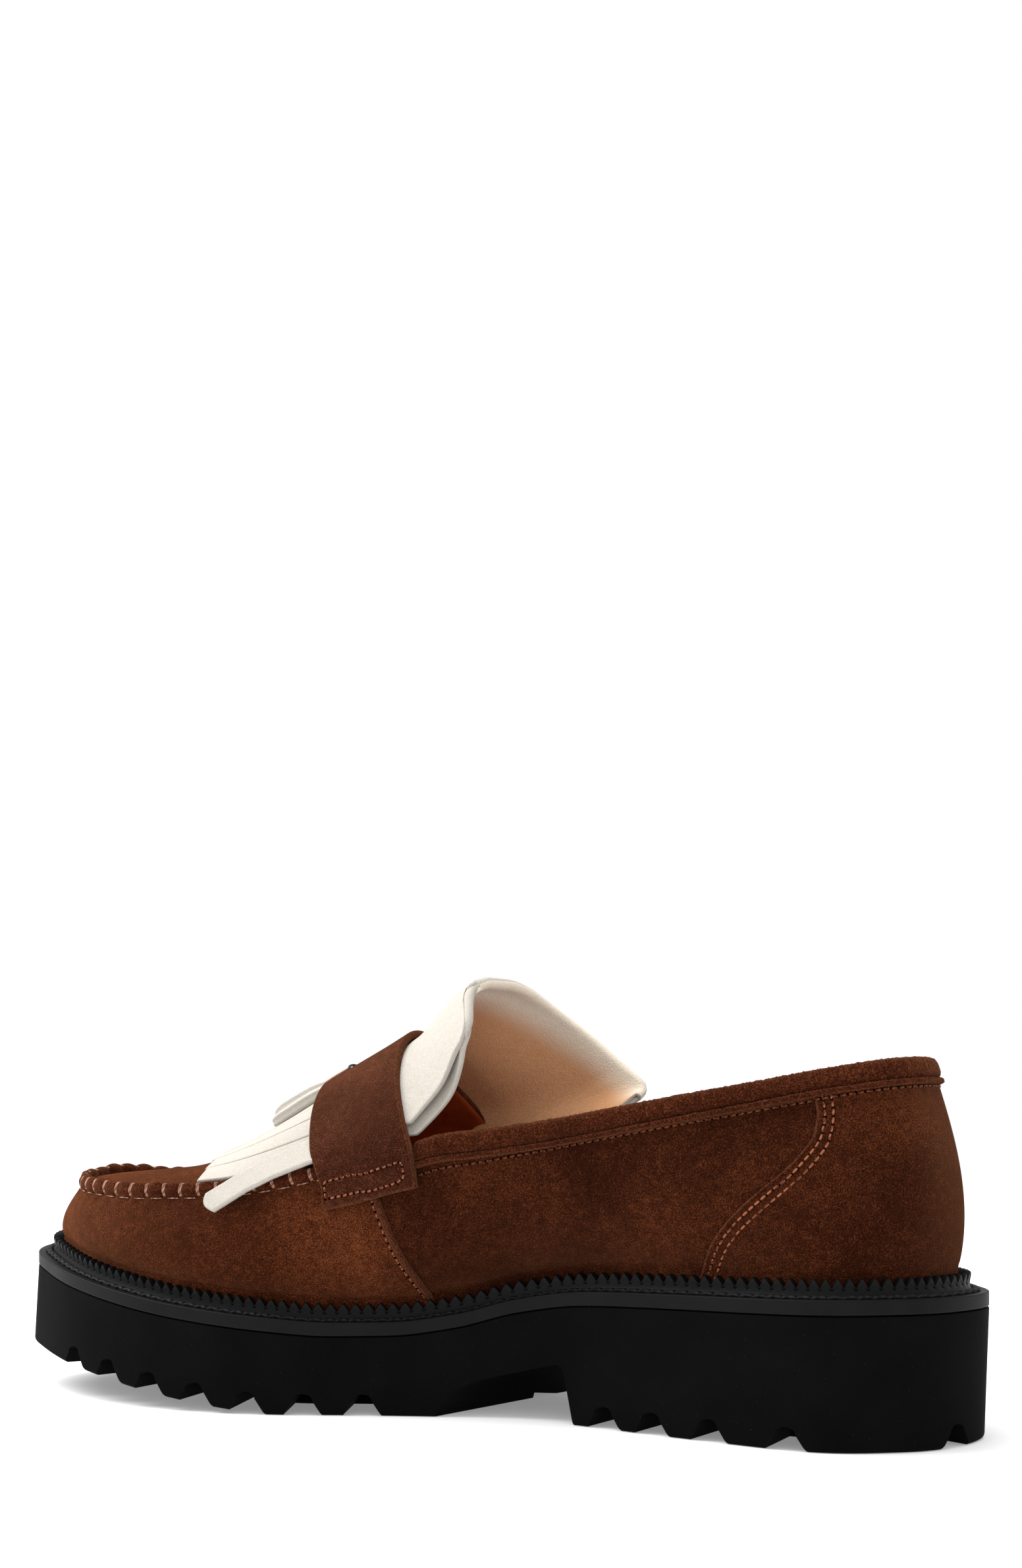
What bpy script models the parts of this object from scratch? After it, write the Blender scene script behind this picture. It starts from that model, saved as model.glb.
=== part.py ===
"""Tassel loafer for the right foot: lugged unit sole, suede upper, saddle strap, kiltie and tassel.

Sizes are millimetres in the tables and are turned into metres when a mesh is made.
X runs from heel to toe, Y to the inner (medial) side, Z up.  Table positions called
"back" are measured forward from the rear of the sole.
"""

import math

import bmesh
import bpy
from mathutils import Euler, Vector

MM = 0.001
LENGTH = 305.0
RING_STATIONS = 40

# Sole outline, half widths on each side of the heel-to-toe axis
OUTLINE_COLUMNS = ("back", "medial", "lateral")
OUTLINE = [
    (6.0, 18.2, 18.0),
    (18.0, 30.2, 30.0),
    (40.0, 38.6, 37.5),
    (76.0, 32.6, 36.0),
    (113.0, 24.9, 34.0),
    (137.0, 25.2, 35.5),
    (168.0, 34.2, 42.5),
    (198.0, 45.0, 49.5),
    (223.0, 48.5, 51.5),
    (247.0, 46.7, 47.5),
    (271.0, 39.0, 36.5),
    (290.0, 27.3, 22.5),
    (300.0, 18.0, 11.5),
]
HEEL_POINT = (0.0, 0.0)
TOE_POINT = (LENGTH, 3.0)
AXIS_SHIFT = 1.5
MIDDLE = 153.15

# Side profile of the sole: tread plane, top of the foam and outward lean of the foam's foot
PROFILE_COLUMNS = ("back", "tread", "foam_top", "lean")
PROFILE = [
    (0.0, 0.0, 35.2, -1.2),
    (30.0, 0.0, 35.0, -1.0),
    (60.0, 0.0, 34.5, -0.4),
    (87.0, 0.0, 34.0, 0.0),
    (107.0, 0.0, 33.2, 0.0),
    (127.0, 0.0, 30.2, 0.0),
    (145.0, 0.0, 25.4, 0.0),
    (163.0, 0.0, 22.9, 0.0),
    (180.0, 0.0, 22.6, 0.0),
    (197.0, 0.0, 23.8, 0.0),
    (210.0, 1.3, 25.0, 0.2),
    (228.0, 3.6, 27.0, 0.4),
    (254.0, 7.6, 30.8, 0.8),
    (278.0, 11.0, 34.9, 1.1),
    (LENGTH, 14.5, 40.0, 1.3),
]
PLATE = 3.9
GAP = 0.3
FOOT_CHAMFER = 1.2

# Lugs: notches let into the sole's edge, stations measured from the back
NOTCH_HEIGHT = 6.2
NOTCH_ROOT = 2.4
NOTCH_MOUTH = 4.8
NOTCH_REACH = 21.0
FOREFOOT_FIRST = 168.8
FOREFOOT_PITCH = 17.2
FOREFOOT_COUNT = 7
LATERAL_EXTRA = 2
HEEL_NOTCHES = (99.6, 84.7, 66.4, 44.4, 6.7)

# Arch recess between heel breast and forefoot pad, at each edge of the sole
ARCH_COLUMNS = ("side", "front_foot", "front_root", "front_height", "rear_height", "rear_root", "rear_foot")
ARCH = [
    (60.0, 160.0, 154.5, 7.4, 16.6, 112.5, 108.5),
    (-60.0, 122.0, 118.5, 15.0, 16.6, 112.5, 108.5),
]

# Welt, feather edge and insole, as insets from the outline
WELT_OUTER = 5.0
WELT_INNER = 7.2
WELT_HEIGHT = 5.4
FEATHER = 8.9
WALL = 2.0
INSOLE_INSET = 11.4
INSOLE = 3.4

# Instep arches from the rolled tongue to the toe: crown, half widths, depth and backward tilt
RIB_COLUMNS = ("back", "crown", "medial", "lateral", "depth", "tilt", "shift")
RIBS = [
    (146.0, 122.6, 36.0, 37.0, 48.0, 54.0, 0.0),
    (152.0, 119.2, 36.0, 37.0, 43.0, 48.0, 0.0),
    (158.0, 114.6, 35.0, 36.5, 38.5, 38.0, 0.0),
    (164.0, 109.6, 34.0, 36.0, 34.0, 27.0, 0.0),
    (171.0, 105.4, 34.0, 36.2, 31.4, 22.0, 0.0),
    (182.0, 99.6, 34.5, 37.5, 29.6, 18.0, 0.0),
    (196.0, 92.4, 36.0, 39.0, 26.0, 12.0, 0.0),
    (210.0, 84.4, 37.5, 40.5, 20.5, 6.0, 0.0),
    (224.0, 77.2, 38.0, 41.0, 14.5, 2.0, 0.0),
    (236.0, 72.4, 37.5, 40.5, 10.0, 0.0, 0.0),
    (248.0, 70.0, 37.5, 40.5, 7.8, 0.0, 0.4),
    (262.0, 68.8, 37.5, 40.5, 6.0, 0.0, 0.9),
    (276.0, 67.6, 37.5, 40.5, 3.8, 0.0, 1.6),
    (288.0, 66.2, 37.5, 40.5, 0.4, 0.0, 2.2),
]
ARCH_POWER = 2.1
THROAT = 164.0
APRON_ROUND = 236.0
APRON_TIP = 288.0

# Topline of the collar behind the throat
TOPLINE_COLUMNS = ("back", "medial", "lateral", "height")
TOPLINE = [
    (18.5, 11.5, 11.5, 100.4),
    (26.0, 19.5, 19.5, 99.4),
    (40.0, 25.0, 25.5, 97.0),
    (60.0, 27.8, 29.0, 93.4),
    (85.0, 29.0, 32.0, 89.2),
    (113.0, 29.5, 34.0, 84.2),
    (133.0, 31.0, 35.2, 81.4),
]
TOPLINE_BACK = (16.0, 0.0, 100.6)
THROAT_FEATHER = 153.0

# Outward fullness of the side wall
BULGE_COLUMNS = ("back", "medial", "lateral")
BULGE = [
    (6.0, 3.0, 3.0),
    (40.0, 3.4, 3.4),
    (85.0, 4.0, 3.6),
    (125.0, 5.0, 4.0),
    (160.0, 5.0, 4.0),
    (190.0, 4.2, 4.0),
    (230.0, 4.0, 4.0),
    (270.0, 3.6, 3.6),
    (295.0, 2.8, 2.8),
]
BULGE_LOW = 0.8
UPRIGHT = 6.4

# Steps in the upper's wall: moccasin ridge, counter and vamp overlays
RIDGE = 2.6
RIDGE_START = 199.0
RIDGE_FULL = 207.0
OVERLAY = 0.9
COUNTER_EDGE = [(45.0, 74.5), (67.0, 54.0), (81.0, 40.5), (92.0, 40.5), (110.0, 40.5)]
VAMP_EDGE = [(20.0, 150.0), (34.0, 151.5), (50.0, 162.0), (63.0, 168.0), (110.0, 172.0)]

# Saddle strap, kiltie and tassel
STRAP_REAR = 165.0
STRAP_FRONT = 198.5
STRAP_REACH = 1.24
STRAP_TAPER = 10.0
STRAP_THICK = 2.2
KILTIE_THICK = 2.0
TONGUE_THICK = 4.4
TONGUE_TOP = 146.0
FRINGE_FRONT = 234.0
FRINGE_ROOT = 206.0
FRINGE_SLIT = 0.025
EDGE_SPLAY = 0.30
EDGE_SHORT = 13.0
EDGE_LIFT = 3.5
BIND_OUTER = 5.2
BIND_INNER = 8.0
BIND_THICK = 1.2


def row_value(rows, columns, name, back):
    """Value of a named table column at a position, along a smooth cubic through the rows."""
    column = columns.index(name)
    xs = [row[0] for row in rows]
    ys = [row[column] for row in rows]
    if back <= xs[0]:
        return ys[0]
    if back >= xs[-1]:
        return ys[-1]
    index = max(i for i in range(len(xs) - 1) if xs[i] <= back)

    def slope(i):
        if i == 0 or i == len(xs) - 1:
            return 0.0 if i == 0 else (ys[i] - ys[i - 1]) / (xs[i] - xs[i - 1])
        before = (ys[i] - ys[i - 1]) / (xs[i] - xs[i - 1])
        after = (ys[i + 1] - ys[i]) / (xs[i + 1] - xs[i])
        return 0.0 if before * after <= 0.0 else 2.0 * before * after / (before + after)

    span = xs[index + 1] - xs[index]
    t = (back - xs[index]) / span
    low, high = ys[index], ys[index + 1]
    start, end = slope(index) * span, slope(index + 1) * span
    rise = high - low
    return low + t * (start + t * ((3.0 * rise - 2.0 * start - end) + t * (start + end - 2.0 * rise)))


def smooth_path(points, per_span=12):
    """Points along a Catmull-Rom curve through all but the first and last given points."""
    path = []
    for i in range(1, len(points) - 2):
        p0, p1, p2, p3 = (Vector(p) for p in points[i - 1:i + 3])
        for k in range(per_span):
            t = k / per_span
            path.append(0.5 * (2.0 * p1 + t * (p2 - p0) + t * t * (2.0 * p0 - 5.0 * p1 + 4.0 * p2 - p3)
                               + t ** 3 * (3.0 * p1 - p0 - 3.0 * p2 + p3)))
    path.append(Vector(points[-2]))
    return path


def along(path, fraction):
    """Point at a fraction of a polyline's length."""
    lengths = [0.0]
    for a, b in zip(path, path[1:]):
        lengths.append(lengths[-1] + (b - a).length)
    target = fraction * lengths[-1]
    for i in range(len(path) - 1):
        if lengths[i + 1] >= target:
            span = lengths[i + 1] - lengths[i]
            t = (target - lengths[i]) / span if span > 0.0 else 0.0
            return path[i].lerp(path[i + 1], t)
    return path[-1].copy()


def outline_side(side):
    """One side of the sole outline as a dense polyline from heel point to toe point."""
    sign = 1.0 if side == "medial" else -1.0
    column = OUTLINE_COLUMNS.index(side)
    other = OUTLINE_COLUMNS.index("lateral" if side == "medial" else "medial")
    points = [(OUTLINE[0][0], -sign * OUTLINE[0][other]), HEEL_POINT]
    points += [(row[0], sign * row[column]) for row in OUTLINE]
    points += [TOE_POINT, (OUTLINE[-1][0], -sign * OUTLINE[-1][other])]
    return smooth_path(points)


OUTLINE_SIDES = {side: outline_side(side) for side in ("medial", "lateral")}


def inset_side(side, inset):
    """The outline's side moved inward along its normal."""
    sign = 1.0 if side == "medial" else -1.0
    path = OUTLINE_SIDES[side]
    moved = []
    for i, point in enumerate(path):
        tangent = path[min(i + 1, len(path) - 1)] - path[max(i - 1, 0)]
        if i in (0, len(path) - 1):
            tangent = Vector((0.0, sign if i == 0 else -sign))
        normal = Vector((-tangent.y, tangent.x)).normalized() * sign
        moved.append(point - normal * inset)
    return moved


def at_back(path, back):
    """Point of a heel-to-toe polyline at a position measured from the back."""
    for a, b in zip(path, path[1:]):
        if a.x <= back <= b.x:
            return a.lerp(b, (back - a.x) / max(b.x - a.x, 1e-9))
    return path[0].copy() if back < path[0].x else path[-1].copy()


def outline_normal(side, point):
    """Outward normal of the outline nearest to a plan point."""
    sign = 1.0 if side == "medial" else -1.0
    path = OUTLINE_SIDES[side]
    flat = Vector((point[0], point[1]))
    i = min(range(len(path)), key=lambda k: (path[k] - flat).length_squared)
    if i in (0, len(path) - 1):
        return Vector((-1.0 if i == 0 else 1.0, 0.0, 0.0))
    tangent = path[i + 1] - path[i - 1]
    normal = Vector((-tangent.y, tangent.x)).normalized() * sign
    return Vector((normal.x, normal.y, 0.0))


def profile(name, back):
    """Height from the sole's side profile."""
    return row_value(PROFILE, PROFILE_COLUMNS, name, back)


def plate_top(back):
    """Height of the plate's upper face."""
    return profile("foam_top", back) + GAP + PLATE


def ring(inset, height):
    """Closed ring round the sole at an inset; medial heel to toe, then lateral toe to heel."""
    points = []
    for side in ("medial", "lateral"):
        path = inset_side(side, inset if not callable(inset) else 0.0)
        first, last = path[0].x, path[-1].x
        half = []
        for i in range(RING_STATIONS):
            back = first + (last - first) * (1.0 - math.cos(math.pi * (i + 0.5) / RING_STATIONS)) / 2.0
            spot = at_back(path, back)
            point = Vector((spot.x, spot.y, height(spot.x)))
            if callable(inset):
                point -= outline_normal(side, spot) * inset(spot.x)
            half.append(point)
        points += half if side == "medial" else half[::-1]
    return points


def place(point):
    """Table millimetres to the part's frame in metres."""
    return Vector(((point[0] - MIDDLE) * MM, (point[1] + AXIS_SHIFT) * MM, point[2] * MM))


def make_collection(name):
    """New collection in the scene."""
    collection = bpy.data.collections.new(name)
    bpy.context.scene.collection.children.link(collection)
    return collection


def make_object(name, points, faces, collection, material=None):
    """Mesh object from points in millimetres, with its faces turned outward."""
    mesh = bpy.data.meshes.new(name)
    work = bmesh.new()
    verts = [work.verts.new(place(p)) for p in points]
    for face in faces:
        work.faces.new([verts[i] for i in face])
    bmesh.ops.recalc_face_normals(work, faces=work.faces[:])
    work.to_mesh(mesh)
    work.free()
    item = bpy.data.objects.new(name, mesh)
    if material:
        mesh.materials.append(material)
    collection.objects.link(item)
    return item


def make_material(name, colour, roughness):
    """Principled material with a plain colour and roughness."""
    material = bpy.data.materials.new(name)
    material.use_nodes = True
    shader = material.node_tree.nodes["Principled BSDF"]
    shader.inputs["Base Color"].default_value = (*colour, 1.0)
    shader.inputs["Roughness"].default_value = roughness
    shader.inputs["Metallic"].default_value = 0.0
    return material


def ladder(start, count, flip):
    """Faces that close a ring across, from its medial to its lateral points."""
    faces = []
    for i in range(count // 2 - 1):
        a, b = start + i, start + i + 1
        c, d = start + count - 2 - i, start + count - 1 - i
        faces.append((a, b, c, d) if flip else (d, c, b, a))
    return faces


def stacked_rings(name, rings, collection, material):
    """Solid from rings stacked upward and closed across its lowest and highest ring."""
    count = len(rings[0])
    points = [p for loop in rings for p in loop]
    faces = []
    for level in range(len(rings) - 1):
        for i in range(count):
            j = (i + 1) % count
            low, high = level * count, (level + 1) * count
            faces.append((low + i, low + j, high + j, high + i))
    faces += ladder(0, count, True)
    faces += ladder((len(rings) - 1) * count, count, False)
    return make_object(name, points, faces, collection, material)


def tube_of_loops(name, loops, collection, material, closed):
    """Solid swept through cross-section loops, as a closed circuit or with capped ends."""
    size = len(loops[0])
    points = [p for loop in loops for p in loop]
    faces = []
    spans = len(loops) if closed else len(loops) - 1
    for k in range(spans):
        here, there = k * size, ((k + 1) % len(loops)) * size
        for i in range(size):
            j = (i + 1) % size
            faces.append((here + i, here + j, there + j, there + i))
    if not closed:
        faces.append(tuple(range(size)))
        faces.append(tuple(range((len(loops) - 1) * size, len(loops) * size))[::-1])
    return make_object(name, points, faces, collection, material)


def sheet_solid(name, points, faces, outer, inner, collection, material):
    """Solid from an open sheet, with an outer and an inner offset along each point's normal."""
    work = bmesh.new()
    verts = [work.verts.new(p) for p in points]
    for face in faces:
        work.faces.new([verts[i] for i in face])
    work.verts.index_update()
    work.normal_update()
    normals = [v.normal.copy() for v in verts]
    rim = []
    for edge in work.edges:
        if edge.is_boundary:
            loop = edge.link_loops[0]
            rim.append((loop.vert.index, loop.link_loop_next.vert.index))
    work.free()
    count = len(points)
    solid = [Vector(p) + n * outer[i] for i, (p, n) in enumerate(zip(points, normals))]
    solid += [Vector(p) + n * inner[i] for i, (p, n) in enumerate(zip(points, normals))]
    walls = [tuple(face) for face in faces]
    walls += [tuple(i + count for i in reversed(face)) for face in faces]
    walls += [(b, a, a + count, b + count) for a, b in rim]
    return make_object(name, solid, walls, collection, material)


def cut(item, cutter):
    """Exact Boolean difference, applied."""
    modifier = item.modifiers.new("cut_" + cutter.name, "BOOLEAN")
    modifier.operation = "DIFFERENCE"
    modifier.solver = "EXACT"
    modifier.object = cutter
    bpy.context.view_layer.objects.active = item
    bpy.ops.object.modifier_apply(modifier=modifier.name)


def hide_cutter(item):
    """Show a cutter as wire only."""
    item.hide_render = True
    item.display_type = "WIRE"


def notch_prism(side, back):
    """Corner points and faces of one lug notch, square to the sole's edge."""
    edge = at_back(OUTLINE_SIDES[side], back)
    normal = outline_normal(side, edge)
    tangent = Vector((-normal.y, normal.x, 0.0))
    tread = profile("tread", back)
    points = []
    for reach in (5.0, -NOTCH_REACH):
        centre = Vector((edge.x, edge.y, 0.0)) + normal * reach
        for half, height in ((NOTCH_MOUTH + 1.0, -3.0), (NOTCH_ROOT, NOTCH_HEIGHT)):
            for sign in (1.0, -1.0):
                spot = centre + tangent * half * sign
                points.append(Vector((spot.x, spot.y, tread + height)))
    faces = [(0, 1, 3, 2), (4, 6, 7, 5), (0, 4, 5, 1), (2, 3, 7, 6), (0, 2, 6, 4), (1, 5, 7, 3)]
    return points, faces


def make_notch_cutter(collection):
    """All lug notches of the forefoot and heel as one cutter."""
    stations = []
    for i in range(FOREFOOT_COUNT):
        stations.append(("medial", FOREFOOT_FIRST + i * FOREFOOT_PITCH))
    for i in range(-LATERAL_EXTRA, FOREFOOT_COUNT):
        stations.append(("lateral", FOREFOOT_FIRST + i * FOREFOOT_PITCH))
    for back in HEEL_NOTCHES:
        stations += [("medial", back), ("lateral", back)]
    points, faces = [], []
    for side, back in stations:
        corners, walls = notch_prism(side, back)
        faces += [tuple(i + len(points) for i in wall) for wall in walls]
        points += corners
    cutter = make_object("notch_cutter", points, faces, collection)
    hide_cutter(cutter)
    return cutter


def make_arch_cutter(collection):
    """Recess under the waist, longer on the medial side."""
    points = []
    for side, front_foot, front_root, front_height, rear_height, rear_root, rear_foot in ARCH:
        section = [(front_foot + 2.0, -3.0), (front_root, front_height), (rear_root, rear_height),
                   (rear_foot, -3.0)]
        points += [Vector((back, side, height)) for back, height in section]
    faces = [(0, 1, 2, 3), (7, 6, 5, 4)]
    faces += [(i, i + 4, (i + 1) % 4 + 4, (i + 1) % 4) for i in range(4)]
    cutter = make_object("arch_cutter", points, faces, collection)
    hide_cutter(cutter)
    return cutter


def make_outsole(collection, cutters, material):
    """Foam unit sole with chamfered foot, lugs and arch."""
    rings = [
        ring(lambda back: FOOT_CHAMFER - profile("lean", back), lambda back: profile("tread", back)),
        ring(lambda back: -profile("lean", back), lambda back: profile("tread", back) + FOOT_CHAMFER),
        ring(0.0, lambda back: profile("foam_top", back)),
    ]
    sole = stacked_rings("outsole", rings, collection, material)
    cut(sole, make_arch_cutter(cutters))
    cut(sole, make_notch_cutter(cutters))
    return sole


def make_midsole(collection, material):
    """Rubber plate between foam and welt."""
    rings = [
        ring(0.0, lambda back: profile("foam_top", back) + GAP),
        ring(0.0, plate_top),
    ]
    return stacked_rings("midsole", rings, collection, material)


def make_welt(collection, material):
    """Upstanding storm welt round the feather edge."""
    outer_foot = ring(WELT_OUTER, lambda back: plate_top(back) + GAP)
    outer_top = ring(WELT_OUTER + 0.5, lambda back: plate_top(back) + WELT_HEIGHT)
    inner_top = ring(WELT_INNER, lambda back: plate_top(back) + WELT_HEIGHT)
    inner_foot = ring(WELT_INNER, lambda back: plate_top(back) + GAP)
    loops = [list(loop) for loop in zip(outer_foot, outer_top, inner_top, inner_foot)]
    return tube_of_loops("storm_welt", loops, collection, material, True)


def make_insole(collection, material):
    """Footbed inside the upper's feather edge."""
    rings = [
        ring(INSOLE_INSET, lambda back: plate_top(back) + GAP),
        ring(INSOLE_INSET, lambda back: plate_top(back) + GAP + INSOLE),
    ]
    return stacked_rings("insole", rings, collection, material)


def rib(name, back):
    """Value from the instep table."""
    return row_value(RIBS, RIB_COLUMNS, name, back)


def rib_half(side, back):
    """Half width of an instep arch, rounded off at the apron's tip."""
    reach = max(0.0, (back - APRON_ROUND) / (APRON_TIP - APRON_ROUND))
    return rib(side, back) * math.sqrt(max(0.0, 1.0 - reach * reach))


def saddle(back, across):
    """Point of the instep surface; across runs from -1 (lateral seam) to 1 (medial seam)."""
    side = "medial" if across >= 0.0 else "lateral"
    drop = rib("depth", back) * abs(across) ** ARCH_POWER
    tilt = math.radians(rib("tilt", back))
    width = across * rib_half(side, back) + rib("shift", back)
    return Vector((back - drop * math.sin(tilt), width, rib("crown", back) - drop * math.cos(tilt)))


def topline_side(side):
    """Collar edge on one side, from the back of the heel to the throat."""
    sign = 1.0 if side == "medial" else -1.0
    column = TOPLINE_COLUMNS.index(side)
    other = TOPLINE_COLUMNS.index("lateral" if side == "medial" else "medial")
    points = [(TOPLINE[0][0], -sign * TOPLINE[0][other], TOPLINE[0][3]), TOPLINE_BACK]
    points += [(row[0], sign * row[column], row[3]) for row in TOPLINE]
    points += [saddle(THROAT, sign), saddle(THROAT + 14.0, sign)]
    return smooth_path(points)


def rib_stations(count):
    """Positions of the arches from throat to apron tip, closer together towards the tip."""
    reach = APRON_TIP - 0.6 - THROAT
    return [THROAT + reach * math.sin(0.5 * math.pi * k / (count - 1)) for k in range(count)]


def seam_side(side, stations):
    """Top edge of the side wall: collar behind the throat, moccasin seam ahead of it."""
    sign = 1.0 if side == "medial" else -1.0
    return [saddle(back, sign) for back in stations]


def wall_columns(side, rear_count, stations):
    """Feather point, top point and outward normal of each wall column from heel to apron tip."""
    top_rear = topline_side(side)
    rear = [along(top_rear, k / rear_count) for k in range(rear_count)]
    front = seam_side(side, stations)
    feather = inset_side(side, FEATHER)
    split = min(range(len(feather)), key=lambda i: abs(feather[i].x - THROAT_FEATHER))
    columns = []
    front_lengths = [0.0]
    for a, b in zip(front, front[1:]):
        front_lengths.append(front_lengths[-1] + (b - a).length)
    tip = front[-1] + Vector((0.6, 0.0, 0.0))
    whole = front_lengths[-1] + abs(front[-1].y - rib("shift", APRON_TIP))
    for k, top in enumerate(rear + front):
        if k < rear_count:
            foot = along(feather[:split + 1], k / rear_count)
        else:
            foot = along(feather[split:], front_lengths[k - rear_count] / whole)
        base = Vector((foot.x, foot.y, plate_top(foot.x) + GAP))
        columns.append((base, top, outline_normal(side, foot)))
    return columns, tip


def wall_point(column, side, level):
    """Point on a wall column; level 0 is the feather edge and 1 the top edge."""
    base, top, normal = column
    height = base.z + (top.z - base.z) * level
    lift = max(0.0, height - base.z - UPRIGHT) / (top.z - base.z - UPRIGHT)
    spot = base.lerp(top, lift)
    full = row_value(BULGE, BULGE_COLUMNS, side, base.x)
    spot = spot + normal * full * math.sin(math.pi * lift ** BULGE_LOW)
    return Vector((spot.x, spot.y, height))


def edge_at(edge, height):
    """Position of an overlay's edge at a height."""
    for (z0, x0), (z1, x1) in zip(edge, edge[1:]):
        if z0 <= height <= z1:
            return x0 + (x1 - x0) * (height - z0) / (z1 - z0)
    return edge[0][1] if height < edge[0][0] else edge[-1][1]


def overlay_step(point):
    """Extra wall thickness of the counter and of the vamp over the quarter."""
    counter = (edge_at(COUNTER_EDGE, point.z) - point.x) / 3.0
    vamp = (point.x - edge_at(VAMP_EDGE, point.z)) / 3.0
    return OVERLAY * min(1.0, max(0.0, counter, vamp))


WALL_LEVELS = (0.0, 0.13, 0.28, 0.45, 0.62, 0.78, 0.9, 1.0)
APRON_STEPS = (0.955, 0.89, 0.68, 0.42, 0.14)
REAR_COLUMNS = 20
FRONT_RIBS = 26


def make_upper(collection, material):
    """Hollow upper: side wall round the foot and instep from throat to apron tip, as one wall."""
    stations = rib_stations(FRONT_RIBS)
    sides = {}
    tip = None
    for side in ("medial", "lateral"):
        sides[side], tip = wall_columns(side, REAR_COLUMNS, stations)
    tip_top = Vector((APRON_TIP, rib("shift", APRON_TIP), rib("crown", APRON_TIP)))
    tip_foot = inset_side("medial", FEATHER)[-1]
    tip_base = Vector((tip_foot.x, tip_foot.y, plate_top(tip_foot.x) + GAP))
    loop = [("medial", c) for c in sides["medial"]]
    loop.append(("medial", (tip_base, tip_top, Vector((1.0, 0.0, 0.0)))))
    loop += [("lateral", c) for c in reversed(sides["lateral"][1:])]
    levels = len(WALL_LEVELS)
    points, outer = [], []
    for side, column in loop:
        ahead = column[1].x > RIDGE_START and column[1].z < saddle(THROAT, 1.0).z
        fade = min(1.0, max(0.0, (column[1].x - RIDGE_START) / (RIDGE_FULL - RIDGE_START)))
        for level in WALL_LEVELS:
            point = wall_point(column, side, level)
            points.append(point)
            outer.append(overlay_step(point) + (RIDGE * fade if ahead and level == 1.0 else 0.0))
    faces = []
    count = len(loop)
    for k in range(count):
        here, there = k * levels, ((k + 1) % count) * levels
        for i in range(levels - 1):
            faces.append((there + i, here + i, here + i + 1, there + i + 1))
    spans = list(APRON_STEPS) + [-s for s in reversed(APRON_STEPS)]
    rows = []
    for k, back in enumerate(stations):
        medial_top = (REAR_COLUMNS + k) * levels + levels - 1
        lateral_top = (count - REAR_COLUMNS - k) * levels + levels - 1
        row = [medial_top]
        for step in spans:
            fade = min(1.0, max(0.0, (back - RIDGE_START) / (RIDGE_FULL - RIDGE_START)))
            row.append(len(points))
            points.append(saddle(back, step))
            outer.append(OVERLAY + (RIDGE * 0.8 * fade if abs(step) > 0.9 else 0.0))
        row.append(lateral_top)
        rows.append(row)
    for near, far in zip(rows, rows[1:]):
        for i in range(len(near) - 1):
            faces.append((near[i], near[i + 1], far[i + 1], far[i]))
    tip_index = (REAR_COLUMNS + FRONT_RIBS) * levels + levels - 1
    last = rows[-1]
    for i in range(len(last) - 1):
        faces.append((last[i], last[i + 1], tip_index))
    inner = [-WALL] * len(points)
    return sheet_solid("upper", points, faces, outer, inner, collection, material)


def make_binding(collection, material):
    """Collar binding folded over the topline, behind the strap."""
    stations = rib_stations(FRONT_RIBS)
    half = {}
    for side in ("medial", "lateral"):
        columns, _ = wall_columns(side, REAR_COLUMNS, stations)
        half[side] = [(side, column) for column in columns[:REAR_COLUMNS]]
    run = half["lateral"][:0:-1] + half["medial"]
    section = [
        (OVERLAY + GAP, -BIND_OUTER),
        (OVERLAY + GAP + BIND_THICK, -BIND_OUTER),
        (OVERLAY + GAP + BIND_THICK, 0.6),
        (OVERLAY + GAP + 0.5, GAP + BIND_THICK),
        (-WALL - GAP - 0.5, GAP + BIND_THICK),
        (-WALL - GAP - BIND_THICK, 0.6),
        (-WALL - GAP - BIND_THICK, -BIND_INNER),
        (-WALL - GAP, -BIND_INNER),
        (-WALL - GAP, GAP),
        (OVERLAY + GAP, GAP),
    ]
    loops = []
    for k, (side, column) in enumerate(run):
        top = column[1]
        low = wall_point(column, side, 0.88)
        rise = (top - low).normalized()
        before, after = run[max(k - 1, 0)][1][1], run[min(k + 1, len(run) - 1)][1][1]
        sweep = (after - before).normalized()
        normal = sweep.cross(rise).normalized()
        if normal.dot(column[2]) < 0.0:
            normal = -normal
        loops.append([top + normal * a + rise * b for a, b in section])
    return tube_of_loops("collar_binding", loops, collection, material, False)


def skin_point(back, across, columns):
    """Point of the upper's outside; beyond a seam the surface runs down the side wall."""
    if abs(across) <= 1.0:
        return saddle(back, across)
    side = "medial" if across > 0.0 else "lateral"
    return wall_point(columns(side, back), side, 2.0 - abs(across))


def column_finder():
    """Function giving the wall column of an instep arch on either side."""
    stations = rib_stations(FRONT_RIBS)
    found = {}
    for side in ("medial", "lateral"):
        found[side] = wall_columns(side, REAR_COLUMNS, stations)[0][REAR_COLUMNS:]

    def column(side, back):
        run = found[side]
        k = max(i for i in range(len(stations) - 1) if stations[i] <= back or i == 0)
        t = (back - stations[k]) / (stations[k + 1] - stations[k])
        base = run[k][0].lerp(run[k + 1][0], t)
        return base, saddle(back, 1.0 if side == "medial" else -1.0), run[k][2].lerp(run[k + 1][2], t)

    return column


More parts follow.
